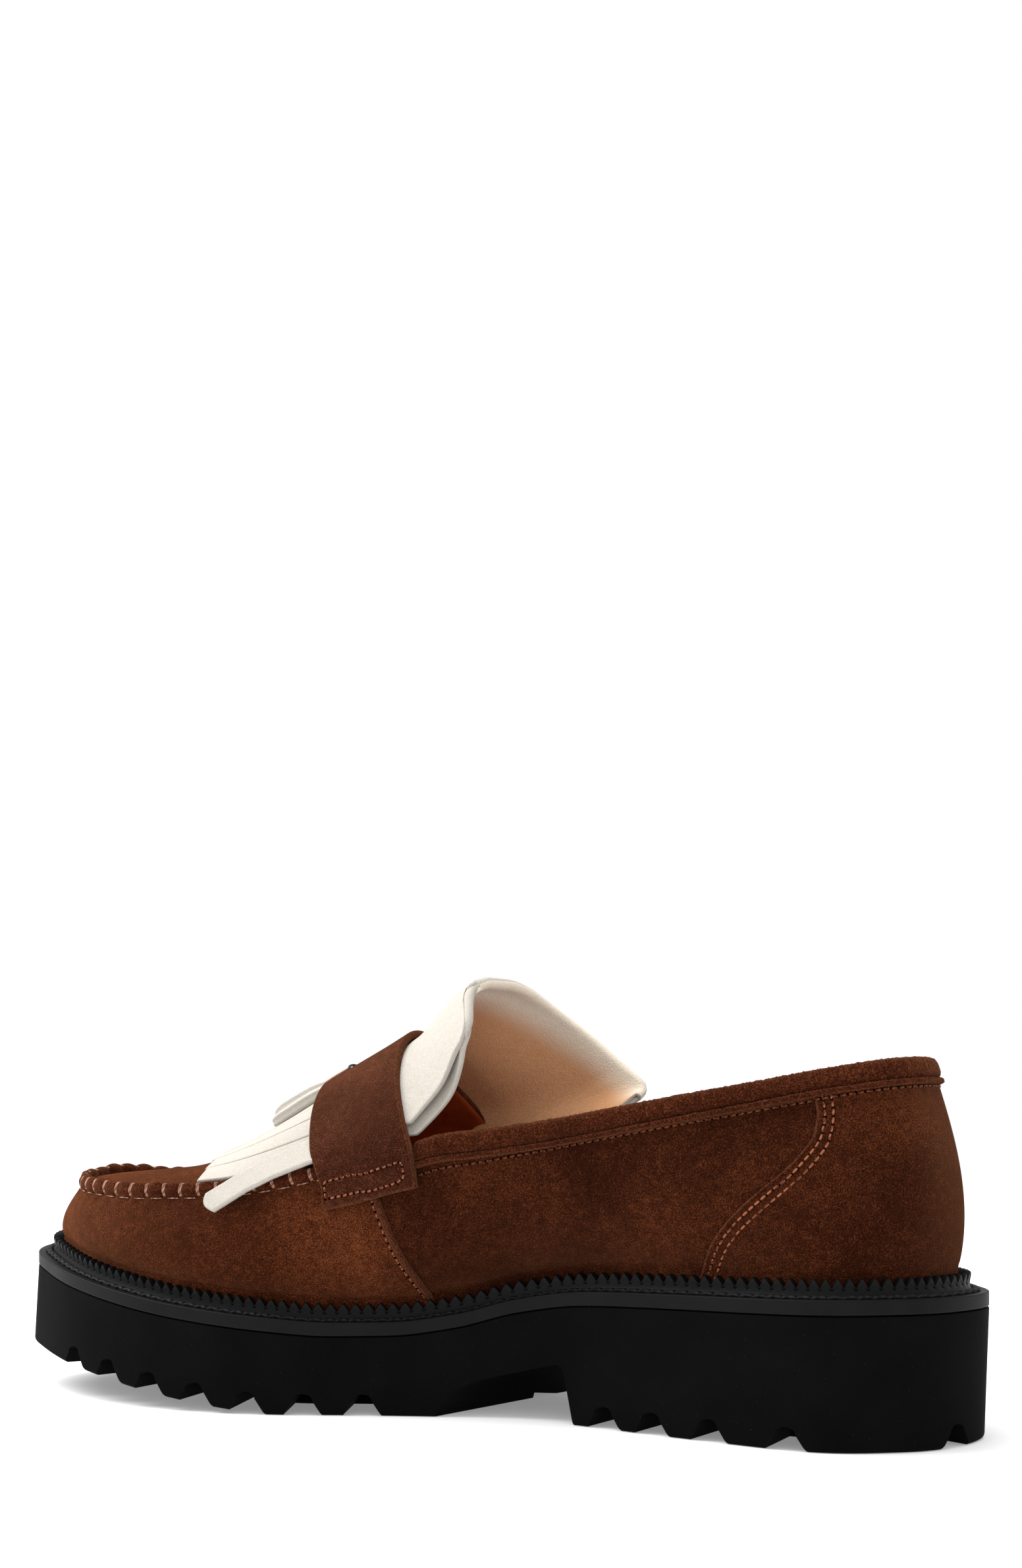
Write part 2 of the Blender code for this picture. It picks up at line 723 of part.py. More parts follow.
def make_strap(collection, material):
    """Saddle strap over the kiltie, its ends laid on the side walls."""
    columns = column_finder()
    rows = 8
    spans = [-STRAP_REACH + 2.0 * STRAP_REACH * j / 28.0 for j in range(29)]
    points, lifts = [], []
    for i in range(rows):
        for across in spans:
            front = STRAP_FRONT - STRAP_TAPER * (abs(across) / STRAP_REACH) ** 1.5
            back = STRAP_REAR + (front - STRAP_REAR) * i / (rows - 1)
            points.append(skin_point(back, across, columns))
            blend = min(1.0, max(0.0, (1.1 - abs(across)) / 0.2))
            low = OVERLAY + GAP
            lifts.append(low + (KILTIE_THICK + 2.0 * GAP) * blend * blend * (3.0 - 2.0 * blend))
    wide = len(spans)
    faces = []
    for i in range(rows - 1):
        for j in range(wide - 1):
            a = i * wide + j
            faces.append((a + 1, a, a + wide, a + wide + 1))
    outer = [lift + STRAP_THICK for lift in lifts]
    return sheet_solid("saddle_strap", points, faces, outer, lifts, collection, material)


def kiltie_half(back):
    """How far the kiltie and tongue reach across the instep, as medial and lateral limits."""
    if back >= THROAT:
        return 0.9, 0.9
    roll = (THROAT - back) / (THROAT - TONGUE_TOP)
    return 0.9 - 0.5 * roll, 0.9 + 0.08 * roll


def make_kiltie(collection, material):
    """Kiltie: fringe strips on the apron, a band under the strap and the rolled tongue above it."""
    columns = column_finder()
    fringe = [FRINGE_FRONT + (FRINGE_ROOT - FRINGE_FRONT) * i / 6.0 for i in range(7)]
    band = [FRINGE_ROOT + (THROAT - FRINGE_ROOT) * i / 6.0 for i in range(1, 7)]
    tongue = [THROAT + (TONGUE_TOP - THROAT) * i / 8.0 for i in range(1, 9)]
    backs = fringe + band + tongue
    strips = 6
    spots = []
    for s in range(strips):
        low, high = -1.0 + 2.0 * s / strips, -1.0 + 2.0 * (s + 1) / strips
        spots += [low + FRINGE_SLIT, (low + high) / 2.0, high - FRINGE_SLIT]
    points, outer, inner = [], [], []
    for i, back in enumerate(backs):
        medial, lateral = kiltie_half(back)
        roll = min(1.0, max(0.0, (THROAT - 2.0 - back) / 8.0))
        for j, spot in enumerate(spots):
            strip = j // 3
            splay = max(0.0, (back - FRINGE_ROOT) / (FRINGE_FRONT - FRINGE_ROOT))
            edge = strip in (0, strips - 1)
            short = (EDGE_SHORT if edge else 0.0) * splay
            narrow = 1.0 - 0.1 * splay
            across = spot * (medial if spot >= 0.0 else lateral)
            across *= 1.0 + EDGE_SPLAY * splay if edge else narrow
            points.append(skin_point(back - short, across, columns))
            lift = OVERLAY + GAP + 0.4 * splay
            lift += EDGE_LIFT * splay ** 0.5 if edge else 0.0
            inner.append(lift)
            outer.append(lift + KILTIE_THICK + (TONGUE_THICK - KILTIE_THICK) * roll)
    wide = len(spots)
    faces = []
    for i in range(len(backs) - 1):
        for j in range(wide - 1):
            if i < len(fringe) - 1 and j % 3 == 2:
                continue
            a = i * wide + j
            faces.append((a, a + 1, a + wide + 1, a + wide))
    return sheet_solid("kiltie", points, faces, outer, inner, collection, material)


def make_tassel(collection, material):
    """Tassel tie of two rounded lobes from one knot, lying on the kiltie ahead of the strap."""
    knot = saddle(204.5, 0.0) + Vector((2.4, 0.0, 5.6))
    parts = [(knot, Vector((4.0, 5.0, 2.2)), 0.0)]
    for sign in (1.0, -1.0):
        parts.append((knot + Vector((8.0, sign * 4.0, -2.8)), Vector((9.0, 3.8, 2.8)), sign * 16.0))
    solids = []
    slope = math.radians(25.0)
    for i, (centre, size, yaw) in enumerate(parts):
        points, faces = [], []
        rings, around = 8, 14
        for r in range(1, rings):
            for a in range(around):
                polar, turn = math.pi * r / rings, 2.0 * math.pi * a / around
                spot = Vector((size.x * math.cos(polar), size.y * math.sin(polar) * math.cos(turn),
                               size.z * math.sin(polar) * math.sin(turn)))
                spot.rotate(Euler((0.0, slope, math.radians(yaw))))
                points.append(centre + spot)
        for r in range(rings - 2):
            for a in range(around):
                b = (a + 1) % around
                faces.append((r * around + a, r * around + b, (r + 1) * around + b, (r + 1) * around + a))
        faces.append(tuple(range(around)))
        faces.append(tuple(range((rings - 2) * around, (rings - 1) * around)))
        name = "tassel" if i == 0 else "tassel_lobe_%d" % i
        solids.append(make_object(name, points, faces, collection, material))
    for lobe in solids[1:]:
        modifier = solids[0].modifiers.new("join_" + lobe.name, "BOOLEAN")
        modifier.operation = "UNION"
        modifier.solver = "EXACT"
        modifier.object = lobe
        bpy.context.view_layer.objects.active = solids[0]
        bpy.ops.object.modifier_apply(modifier=modifier.name)
        bpy.data.objects.remove(lobe, do_unlink=True)
    return solids[0]


def main():
    """Build every piece of the shoe."""
    for item in list(bpy.data.objects):
        bpy.data.objects.remove(item, do_unlink=True)
    shoe = make_collection("tassel_loafer")
    cutters = make_collection("cutters")
    foam = make_material("black_foam", (0.012, 0.012, 0.012), 0.8)
    rubber = make_material("charcoal_rubber", (0.03, 0.03, 0.032), 0.5)
    brown = make_material("brown_suede", (0.09, 0.035, 0.018), 0.95)
    cream = make_material("cream_suede", (0.78, 0.74, 0.66), 0.95)
    tan = make_material("tan_leather", (0.35, 0.16, 0.07), 0.6)
    make_outsole(shoe, cutters, foam)
    make_midsole(shoe, rubber)
    make_welt(shoe, rubber)
    make_insole(shoe, tan)
    make_upper(shoe, brown)
    make_binding(shoe, brown)
    make_kiltie(shoe, cream)
    make_strap(shoe, brown)
    make_tassel(shoe, cream)


if __name__ == "__main__":
    main()
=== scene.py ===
"""Tassel loafer for the right foot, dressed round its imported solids.

Sizes are millimetres measured forward from the rear of the sole ("back"), across from the
heel-to-toe axis and up from the floor.  They become metres in the shared frame when a mesh is made.
"""

from __future__ import annotations

import logging
import math
from dataclasses import dataclass, field
from enum import Enum, auto
from functools import cached_property
from typing import Any, Sequence

import bmesh
import bpy
import numpy as np
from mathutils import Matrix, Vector

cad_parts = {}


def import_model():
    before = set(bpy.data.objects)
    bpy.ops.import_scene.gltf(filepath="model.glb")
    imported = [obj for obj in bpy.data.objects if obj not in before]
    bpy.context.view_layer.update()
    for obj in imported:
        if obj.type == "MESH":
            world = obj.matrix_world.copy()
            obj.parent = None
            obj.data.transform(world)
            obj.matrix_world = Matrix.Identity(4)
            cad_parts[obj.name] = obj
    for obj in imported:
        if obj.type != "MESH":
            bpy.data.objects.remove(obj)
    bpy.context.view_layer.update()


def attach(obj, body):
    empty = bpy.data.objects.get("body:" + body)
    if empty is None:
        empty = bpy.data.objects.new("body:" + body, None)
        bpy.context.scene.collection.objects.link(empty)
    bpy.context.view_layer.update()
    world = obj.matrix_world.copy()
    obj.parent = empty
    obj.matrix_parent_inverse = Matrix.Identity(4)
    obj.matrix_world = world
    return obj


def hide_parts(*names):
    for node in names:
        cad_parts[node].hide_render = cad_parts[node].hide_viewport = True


LOG = logging.getLogger("tassel_loafer")
Array = np.ndarray
Material = bpy.types.Material
Socket = bpy.types.NodeSocket
UP = np.array([0.0, 0.0, 1.0])
FULL_TURN = 2.0 * math.pi
MM = 0.001
MIDDLE = 153.15  # from the sole's back to the frame's origin
AXIS_SHIFT = 1.5  # from the frame's origin to the heel-to-toe axis
GAP = 0.3  # left open between neighbouring pieces
WALL = 2.0  # thickness of the lined wall
OVERLAY = 0.9  # how far a panel stands out of the quarter wall
SUNK = -0.4  # lower face of a panel, inside the quarter wall
MOC_PITCH = 6.3  # from one wrap of the moccasin seam to the next
GATHERS_FROM = 196.0  # where that seam begins to gather the leather
GATHERS_EASE = 10.0


class Side(Enum):
    """Side of the shoe, with the sign of its Y."""

    MEDIAL = 1.0
    LATERAL = -1.0


class Slot(Enum):
    """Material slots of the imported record."""

    FOAM = "foam"
    RUBBER = "rubber"
    LINING = "lining"
    BROWN = "brown_suede"
    CREAM = "cream_suede"


def to_linear(code: str) -> tuple[float, float, float, float]:
    """Turn an sRGB hex colour into linear RGBA.

    Args:
        code: colour as "#RRGGBB".

    Returns:
        Linear red, green, blue and an alpha of one.
    """
    parts = [int(code[i:i + 2], 16) / 255.0 for i in (1, 3, 5)]
    linear = [p / 12.92 if p <= 0.04045 else ((p + 0.055) / 1.055) ** 2.4 for p in parts]
    return (linear[0], linear[1], linear[2], 1.0)


def per_mm(size: float) -> float:
    """Texture scale in metres for features of a size in millimetres."""
    return 1.0 / (size * MM)


class Look:
    """Node tree of one material, with short ways to add the nodes it needs."""

    def __init__(self, name: str, values: dict[str, Any]) -> None:
        """Start a Principled material.

        Args:
            name: material name.
            values: uniform Principled inputs by socket name.
        """
        self.material = bpy.data.materials.new(name)
        self.material.use_nodes = True
        self.tree = self.material.node_tree
        self.shader = self.tree.nodes["Principled BSDF"]
        for key, value in values.items():
            self.shader.inputs[key].default_value = value

    @cached_property
    def spot(self) -> Socket:
        """Place on the piece, in metres."""
        return self.add("TexCoord").outputs["Object"]

    def add(self, kind: str, settings: dict[Any, Any] | None = None,
            links: dict[Any, Socket] | None = None) -> bpy.types.Node:
        """Add a node.

        Args:
            kind: shader node type without its prefix.
            settings: node attributes or input values, by name or input number.
            links: output sockets to join, by input name or number.

        Returns:
            The new node.
        """
        node = self.tree.nodes.new("ShaderNode" + kind)
        for key, value in (settings or {}).items():
            if isinstance(key, str) and hasattr(node, key):
                setattr(node, key, value)
            else:
                node.inputs[key].default_value = value
        for key, socket in (links or {}).items():
            self.tree.links.new(socket, node.inputs[key])
        return node

    def noise(self, size: float, detail: float, rough: float = 0.5, distort: float = 0.0) -> Socket:
        """Noise with features of a size in millimetres."""
        settings = {"Scale": per_mm(size), "Detail": detail, "Roughness": rough, "Distortion": distort}
        return self.add("TexNoise", settings, {"Vector": self.spot}).outputs["Fac"]

    def cells(self, size: float) -> Socket:
        """Distance from the middles of cells of a size in millimetres."""
        return self.add("TexVoronoi", {"Scale": per_mm(size)}, {"Vector": self.spot}).outputs["Distance"]

    def spread(self, source: Socket, settings: dict[str, Any]) -> Socket:
        """Value mapped from one range to another."""
        return self.add("MapRange", settings, {"Value": source}).outputs["Result"]

    def blend(self, share: float, first: Socket, second: Socket) -> Socket:
        """Number mixed from two numbers."""
        return self.add("Mix", {"data_type": "FLOAT", 0: share}, {2: first, 3: second}).outputs[0]

    def ramp(self, source: Socket, *stops: tuple[float, str]) -> Socket:
        """Colour read off a ramp.

        Args:
            source: socket giving the value.
            stops: positions with hex colours.

        Returns:
            Socket with the colour.
        """
        node = self.add("ValToRGB", links={"Fac": source})
        bar = node.color_ramp
        while len(bar.elements) < len(stops):
            bar.elements.new(0.5)
        for element, (spot, code) in zip(bar.elements, stops):
            element.position = spot
            element.color = to_linear(code)
        return node.outputs["Color"]

    def finish(self, results: dict[str, Socket], height: Socket | None = None,
               strength: float = 0.25, depth: float = 0.1) -> Material:
        """Join results to the shader.

        Args:
            results: sockets by Principled input name.
            height: height that bumps the surface, if any.
            strength: strength of the bump.
            depth: depth of the bump in millimetres.

        Returns:
            The finished material.
        """
        if height is not None:
            bump = self.add("Bump", {"Strength": strength, "Distance": depth * MM}, {"Height": height})
            results = {**results, "Normal": bump.outputs["Normal"]}
        for key, socket in results.items():
            self.tree.links.new(socket, self.shader.inputs[key])
        return self.material


@dataclass(frozen=True)
class Suede:
    """Napped split leather: matt, grainy, lighter where brushed, with a soft sheen at grazing angles.

    The nap is drawn coarser than hairs so that it shows.  A flesh side gets painted shade away from the
    tongue's fold, darker and warmer deeper inside the shoe.
    """

    name: str
    dark: str
    middle: str
    light: str
    sheen: str = "#B98260"
    sheen_weight: float = 0.4
    nap_mm: float = 0.4
    clump_mm: float = 2.4
    clump_share: float = 0.2
    patch_mm: float = 34.0
    patch_share: float = 0.22
    nap_height_mm: float = 0.9
    stops: tuple[float, float, float] = (0.34, 0.5, 0.67)
    # colours of the painted shade on a flesh side, deepening away from the tongue's fold
    painted_shade: tuple[str, str] | None = None
    painted_shade_lean_deg: float = 54.0
    painted_shade_from_mm: float = -100.5
    painted_shade_fade_mm: float = 11.0
    painted_shade_ragged_mm: float = 8.0

    def material(self) -> Material:
        """Make suede with nap grain and brushed patches.

        Returns:
            The new material.
        """
        look = Look(self.name, {
            "Roughness": 0.95, "Specular IOR Level": 0.0, "Sheen Weight": self.sheen_weight,
            "Sheen Roughness": 0.35, "Sheen Tint": to_linear(self.sheen)})
        nap, clump = (look.noise(size, 3.0, 0.65) for size in (self.nap_mm, self.clump_mm))
        grain = look.blend(self.clump_share, nap, clump)
        tone = look.blend(self.patch_share, grain, look.noise(self.patch_mm, 2.0, distort=0.3))
        colour = look.ramp(tone, *zip(self.stops, (self.dark, self.middle, self.light)))
        if self.painted_shade is not None:
            colour = self.painted_shaded(look, grain, colour)
        return look.finish({"Base Color": colour}, grain, 0.7, self.nap_height_mm)

    def painted_shaded(self, look: Look, grain: Socket, near: Socket) -> Socket:
        """Deepen a colour away from the tongue's fold as painted shade from the inside of the shoe.

        Args:
            look: the material's nodes.
            grain: nap grain, which breaks up the change.
            near: colour at the fold.

        Returns:
            Socket with the mixed colour.
        """
        # painted shade: the colour darkens and warms with distance down from the fold
        lean = math.radians(self.painted_shade_lean_deg)
        slope = (math.cos(lean), 0.0, -math.sin(lean))
        away = look.add("VectorMath", {"operation": "DOT_PRODUCT", 1: slope}, {0: look.spot})
        ragged = look.add("Math", {"operation": "MULTIPLY_ADD", 1: self.painted_shade_ragged_mm * MM},
                          {0: grain, 2: away.outputs["Value"]})
        share = look.spread(ragged.outputs[0], {
            "interpolation_type": "SMOOTHSTEP", "From Min": self.painted_shade_from_mm * MM,
            "From Max": (self.painted_shade_from_mm + self.painted_shade_fade_mm) * MM})
        deep = look.ramp(grain, (0.35, self.painted_shade[0]), (0.65, self.painted_shade[1]))
        return look.add("Mix", {"data_type": "RGBA"}, {0: share, 6: near, 7: deep}).outputs[2]


@dataclass(frozen=True)
class MouldedRubber:
    """Moulded rubber: near black, satin, with faint flow marks in its tone and gloss."""

    name: str
    dark: str
    light: str
    roughness: float = 0.42
    gloss: float = 0.3
    grain_mm: float = 0.5
    flow_mm: float = 9.0

    def material(self) -> Material:
        """Make rubber with an uneven satin gloss.

        Returns:
            The new material.
        """
        look = Look(self.name, {"Roughness": self.roughness, "Specular IOR Level": self.gloss})
        flow, grain = look.noise(self.flow_mm, 4.0, 0.6), look.noise(self.grain_mm, 2.0)
        rough = look.spread(flow, {"To Min": self.roughness - 0.06, "To Max": self.roughness + 0.12})
        colour = look.ramp(flow, (0.3, self.dark), (0.7, self.light))
        return look.finish({"Base Color": colour, "Roughness": rough}, grain, 0.2, 0.06)


@dataclass(frozen=True)
class MouldedFoam:
    """Expanded foam with a moulded skin: dead matt black with pin-sized pale specks."""

    name: str
    dark: str
    light: str
    speck: str
    cell_mm: float = 0.8
    speck_mm: float = 2.2
    cloud_mm: float = 18.0

    def material(self) -> Material:
        """Make a foam skin with fine cells and sparse specks.

        Returns:
            The new material.
        """
        look = Look(self.name, {"Roughness": 0.85, "Specular IOR Level": 0.05})
        base = look.ramp(look.noise(self.cloud_mm, 3.0), (0.3, self.dark), (0.7, self.light))
        pin = look.spread(look.cells(self.speck_mm), {"From Min": 0.07, "From Max": 0.04})
        mix = look.add("Mix", {"data_type": "RGBA", 7: to_linear(self.speck)}, {0: pin, 6: base})
        return look.finish({"Base Color": mix.outputs[2]}, look.cells(self.cell_mm), 0.25, 0.08)


@dataclass(frozen=True)
class GrainLeather:
    """Vegetable-tanned lining leather: smooth, fine pores, uneven dye, a low wax gloss."""

    name: str
    dark: str
    light: str
    roughness: float = 0.5
    pore_mm: float = 0.7
    dye_mm: float = 11.0

    def material(self) -> Material:
        """Make leather with pores and cloudy dye.

        Returns:
            The new material.
        """
        look = Look(self.name, {"Roughness": self.roughness, "Specular IOR Level": 0.3})
        colour = look.ramp(look.noise(self.dye_mm, 5.0, 0.6), (0.3, self.dark), (0.7, self.light))
        return look.finish({"Base Color": colour}, look.cells(self.pore_mm))


@dataclass(frozen=True)
class TwistedThread:
    """Twisted waxed thread: fine slanted plies, lighter on their crests and darker between them as painted
    highlight and shade.
    """

    name: str
    dark: str
    light: str
    ply_mm: float = 0.45
    waves_per_scale: float = 6.28

    def material(self) -> Material:
        """Make thread with plies drawn as slanted bands.

        Returns:
            The new material.
        """
        look = Look(self.name, {"Roughness": 0.6, "Specular IOR Level": 0.12})
        bands = {"bands_direction": "DIAGONAL", "Distortion": 1.5,
                 "Scale": per_mm(self.ply_mm) / self.waves_per_scale}
        ply = look.add("TexWave", bands, {"Vector": look.spot}).outputs["Fac"]
        # ply crests lighter as a painted highlight, gaps between plies darker as painted shade
        return look.finish({"Base Color": look.ramp(ply, (0.1, self.dark), (0.8, self.light))}, ply, 0.4)


@dataclass(frozen=True)
class BlackenedSteel:
    """Blackened steel wire: dark, with a worn satin gloss."""

    name: str
    colour: str
    wear_mm: float = 1.5

    def material(self) -> Material:
        """Make metal with uneven wear in its gloss.

        Returns:
            The new material.
        """
        look = Look(self.name, {"Base Color": to_linear(self.colour), "Metallic": 1.0})
        rough = look.spread(look.noise(self.wear_mm, 3.0), {"To Min": 0.25, "To Max": 0.5})
        return look.finish({"Roughness": rough})


class Finish(Enum):
    """Every finish of the shoe."""

    BROWN = Suede("brown_suede_brushed", "#150704", "#30150B", "#693820", nap_mm=0.36)
    # vamp and apron: a lighter copy of the brown suede, painted light for their up-facing place
    VAMP = Suede("brown_suede_vamp_painted_lighter", "#190905", "#3B1B0E", "#7C4427", nap_mm=0.36)
    STRAP = Suede("brown_suede_strap_brushed", "#190B07", "#361A10", "#693D2D", nap_mm=0.36)
    NAP = Suede("brown_suede_rough_nap", "#200E08", "#38190E", "#633520", nap_mm=0.5, clump_mm=2.0,
                patch_share=0.12, nap_height_mm=0.8)
    # lighter raw cut edges; on the vamp's raised fold the same colour is a painted highlight
    CUT = Suede("brown_suede_raw_cut_edge_and_painted_highlight", "#2A130B", "#462416", "#6B4330", patch_share=0.1)
    CREAM = Suede("cream_suede_brushed", "#A9A399", "#B4AEA5", "#C0BBB2", "#FFFFFF", sheen_weight=0.05,
                  nap_mm=0.45, nap_height_mm=0.45)
    # flesh side of the tongue: lightened near the fold as painted light, deepening away from it into painted
    # shade
    FLESH = Suede("cream_suede_flesh_side_painted_light_and_shade", "#DACDB8", "#E4D9C7", "#ECE3D4", "#FFFFFF", sheen_weight=0.05,
                  nap_mm=0.5, painted_shade=("#BE8860", "#CFA078"))
    LINING = GrainLeather("tan_leather_smooth_lining", "#782D0C", "#9C4515")
    RUBBER = MouldedRubber("charcoal_rubber_moulded_welt", "#070808", "#0D0E0E", gloss=0.1)
    PLATE = MouldedRubber("charcoal_rubber_trimmed_plate", "#0A0A0B", "#101011", roughness=0.5, gloss=0.09)
    FOAM = MouldedFoam("black_foam_moulded_sole", "#040404", "#080808", "#202020")
    MOC_THREAD = TwistedThread("rose_brown_waxed_thread", "#6A4636", "#9C7562", 0.5)
    SEAM_THREAD = TwistedThread("orange_brown_sewing_thread", "#522618", "#8E5439")
    COLLAR_THREAD = TwistedThread("dark_brown_sewing_thread", "#3A1A0E", "#66371F")
    WELT_THREAD = TwistedThread("black_waxed_welt_thread", "#050505", "#121213", 0.7)
    HOLE = Suede("needle_hole_shadow", "#0C0503", "#120805", "#1A0D08", "#2A1810", sheen_weight=0.0)
    ROSE = GrainLeather("rose_beige_leather_cut_edge", "#A98877", "#CDB09E", 0.55)
    STEEL = BlackenedSteel("blackened_steel_wire", "#2B2725")

    @cached_property
    def material(self) -> Material:
        """Material of the finish, made at its first use."""
        return self.value.material()


def smoothstep(value: Array) -> Array:
    """Ease from 0 to 1 as a value goes from 0 to 1."""
    t = np.clip(value, 0.0, 1.0)
    return t * t * (3.0 - 2.0 * t)


def unit(vectors: Array) -> Array:
    """Vectors scaled to length one."""
    return vectors / np.maximum(np.linalg.norm(vectors, axis=-1, keepdims=True), 1e-12)


def lengths(path: Array) -> Array:
    """Length along a polyline at each of its points."""
    steps = np.linalg.norm(np.diff(path, axis=0), axis=-1)
    return np.concatenate([[0.0], np.cumsum(steps)])


def sample(at: Array, known: Array, values: Array) -> Array:
    """Values with several components, interpolated at positions.

    Args:
        at: positions of any shape.
        known: increasing positions of the values.
        values: one row of components per known position.

    Returns:
        Array of the positions' shape with the components last.
    """
    return np.stack([np.interp(at, known, values[:, k]) for k in range(values.shape[1])], axis=-1)


def along(path: Array, share: Array) -> Array:
    """Points at shares of a polyline's length."""
    run = lengths(path)
    return sample(np.asarray(share) * run[-1], run, path)


def smooth_path(points: Array, per_span: int = 24) -> Array:
    """Catmull-Rom curve through all but the first and last given points.

    Args:
        points: control points.
        per_span: points per span.

    Returns:
        The curve as a dense polyline.
    """
    pieces = []
    t = (np.arange(per_span) / per_span)[:, None]
    for p0, p1, p2, p3 in zip(points, points[1:], points[2:], points[3:]):
        pieces.append(0.5 * (2.0 * p1 + t * (p2 - p0) + t ** 2 * (2.0 * p0 - 5.0 * p1 + 4.0 * p2 - p3)
                             + t ** 3 * (3.0 * p1 - p0 - 3.0 * p2 + p3)))
    return np.concatenate(pieces + [points[-2][None]])


def relax(points: Array, passes: int) -> Array:
    """Points eased toward their neighbours along the first axis, with both ends kept.

    Args:
        points: points or values.
        passes: smoothing passes.

    Returns:
        The eased copy.
    """
    points = points.copy()
    for _ in range(passes):
        points[1:-1] = (points[:-2] + 2.0 * points[1:-1] + points[2:]) / 4.0
    return points


@dataclass(frozen=True)
class Table:
    """Short table of sizes against the distance from the back, read along a smooth cubic."""

    columns: tuple[str, ...]
    rows: tuple[tuple[float, ...], ...]

    def column(self, name: str) -> Array:
        """All values of one column."""
        return np.array([row[self.columns.index(name)] for row in self.rows])

    def at(self, name: str, back: Array | float) -> Array:
        """Read a column at positions.

        Args:
            name: column name.
            back: positions of any shape.

        Returns:
            Values on a monotone cubic through the rows.
        """
        xs, ys = self.column(self.columns[0]), self.column(name)
        slant = np.diff(ys) / np.diff(xs)
        slope = np.zeros(len(xs))
        slope[-1] = slant[-1]
        same = slant[:-1] * slant[1:] > 0.0
        middle = 2.0 * slant[:-1] * slant[1:] / np.where(same, slant[:-1] + slant[1:], 1.0)
        slope[1:-1] = np.where(same, middle, 0.0)
        spot = np.clip(back, xs[0], xs[-1])
        i = np.clip(np.searchsorted(xs, spot, side="right") - 1, 0, len(xs) - 2)
        span = xs[i + 1] - xs[i]
        t = (spot - xs[i]) / span
        rise = ys[i + 1] - ys[i]
        start, end = slope[i] * span, slope[i + 1] * span
        return ys[i] + t * (start + t * ((3.0 * rise - 2.0 * start - end) + t * (start + end - 2.0 * rise)))


OUTLINE = Table(("back", "medial", "lateral"), (
    (6.0, 18.2, 18.0), (18.0, 30.2, 30.0), (40.0, 38.6, 37.5), (76.0, 32.6, 36.0), (113.0, 24.9, 34.0),
    (137.0, 25.2, 35.5), (168.0, 34.2, 42.5), (198.0, 45.0, 49.5), (223.0, 48.5, 51.5), (247.0, 46.7, 47.5),
    (271.0, 39.0, 36.5), (290.0, 27.3, 22.5), (300.0, 18.0, 11.5)))
PROFILE = Table(("back", "tread", "foam_top", "lean"), (
    (0.0, 0.0, 35.2, -1.2), (30.0, 0.0, 35.0, -1.0), (60.0, 0.0, 34.5, -0.4), (87.0, 0.0, 34.0, 0.0),
    (107.0, 0.0, 33.2, 0.0), (127.0, 0.0, 30.2, 0.0), (145.0, 0.0, 25.4, 0.0), (163.0, 0.0, 22.9, 0.0),
    (180.0, 0.0, 22.6, 0.0), (197.0, 0.0, 23.8, 0.0), (210.0, 1.3, 25.0, 0.2), (228.0, 3.6, 27.0, 0.4),
    (254.0, 7.6, 30.8, 0.8), (278.0, 11.0, 34.9, 1.1), (305.0, 14.5, 40.0, 1.3)))
RIBS = Table(("back", "crown", "medial", "lateral", "depth", "tilt", "shift"), (
    (146.0, 122.6, 36.0, 37.0, 48.0, 54.0, 0.0), (152.0, 119.2, 36.0, 37.0, 43.0, 48.0, 0.0),
    (158.0, 114.6, 35.0, 36.5, 38.5, 38.0, 0.0), (164.0, 109.6, 34.0, 36.0, 34.0, 27.0, 0.0),
    (171.0, 105.4, 34.0, 36.2, 31.4, 22.0, 0.0), (182.0, 99.6, 34.5, 37.5, 29.6, 18.0, 0.0),
    (196.0, 92.4, 36.0, 39.0, 26.0, 12.0, 0.0), (210.0, 84.4, 37.5, 40.5, 20.5, 6.0, 0.0),
    (224.0, 77.2, 38.0, 41.0, 14.5, 2.0, 0.0), (236.0, 72.4, 37.5, 40.5, 10.0, 0.0, 0.0),
    (248.0, 70.0, 37.5, 40.5, 7.8, 0.0, 0.4), (262.0, 68.8, 37.5, 40.5, 6.0, 0.0, 0.9),
    (276.0, 67.6, 37.5, 40.5, 3.8, 0.0, 1.6), (288.0, 66.2, 37.5, 40.5, 0.4, 0.0, 2.2)))
TOPLINE = Table(("back", "medial", "lateral", "height"), (
    (18.5, 11.5, 11.5, 100.4), (26.0, 19.5, 19.5, 99.4), (40.0, 25.0, 25.5, 97.0), (60.0, 27.8, 29.0, 93.4),
    (85.0, 29.0, 32.0, 89.2), (113.0, 29.5, 34.0, 84.2), (133.0, 31.0, 35.2, 81.4)))
BULGE = Table(("back", "medial", "lateral"), (
    (6.0, 3.9, 3.9), (40.0, 3.8, 3.8), (85.0, 4.0, 3.6), (125.0, 5.0, 4.0), (160.0, 5.0, 4.0),
    (190.0, 4.2, 4.0), (230.0, 4.0, 4.0), (270.0, 3.4, 3.4), (295.0, 2.2, 2.2)))
COUNTER_EDGE = Table(("height", "back"), (
    (36.0, 74.3), (43.8, 72.0), (49.8, 69.5), (55.4, 65.9), (61.3, 60.3), (66.6, 54.1), (72.0, 47.5),
    (77.3, 42.8), (81.0, 40.5), (86.0, 39.9), (92.0, 41.0), (110.0, 42.5)))
STRAP_EDGE = Table(("across", "rear", "front"), (
    (0.0, 166.3, 195.6), (0.37, 167.3, 194.0), (0.65, 167.7, 193.2), (0.9, 167.3, 191.8),
    (1.02, 167.1, 190.1), (1.12, 166.7, 189.1), (1.24, 166.2, 188.6)))
CREST = Table(("spot", "rise"), (
    (-1.0, 1.0), (-0.85, 2.3), (-0.65, 3.2), (-0.45, 4.2), (-0.3, 4.3), (-0.15, 3.6),
    (0.0, 2.9), (0.3, 2.2), (0.6, 1.6), (0.85, 0.9), (1.0, 0.2)))
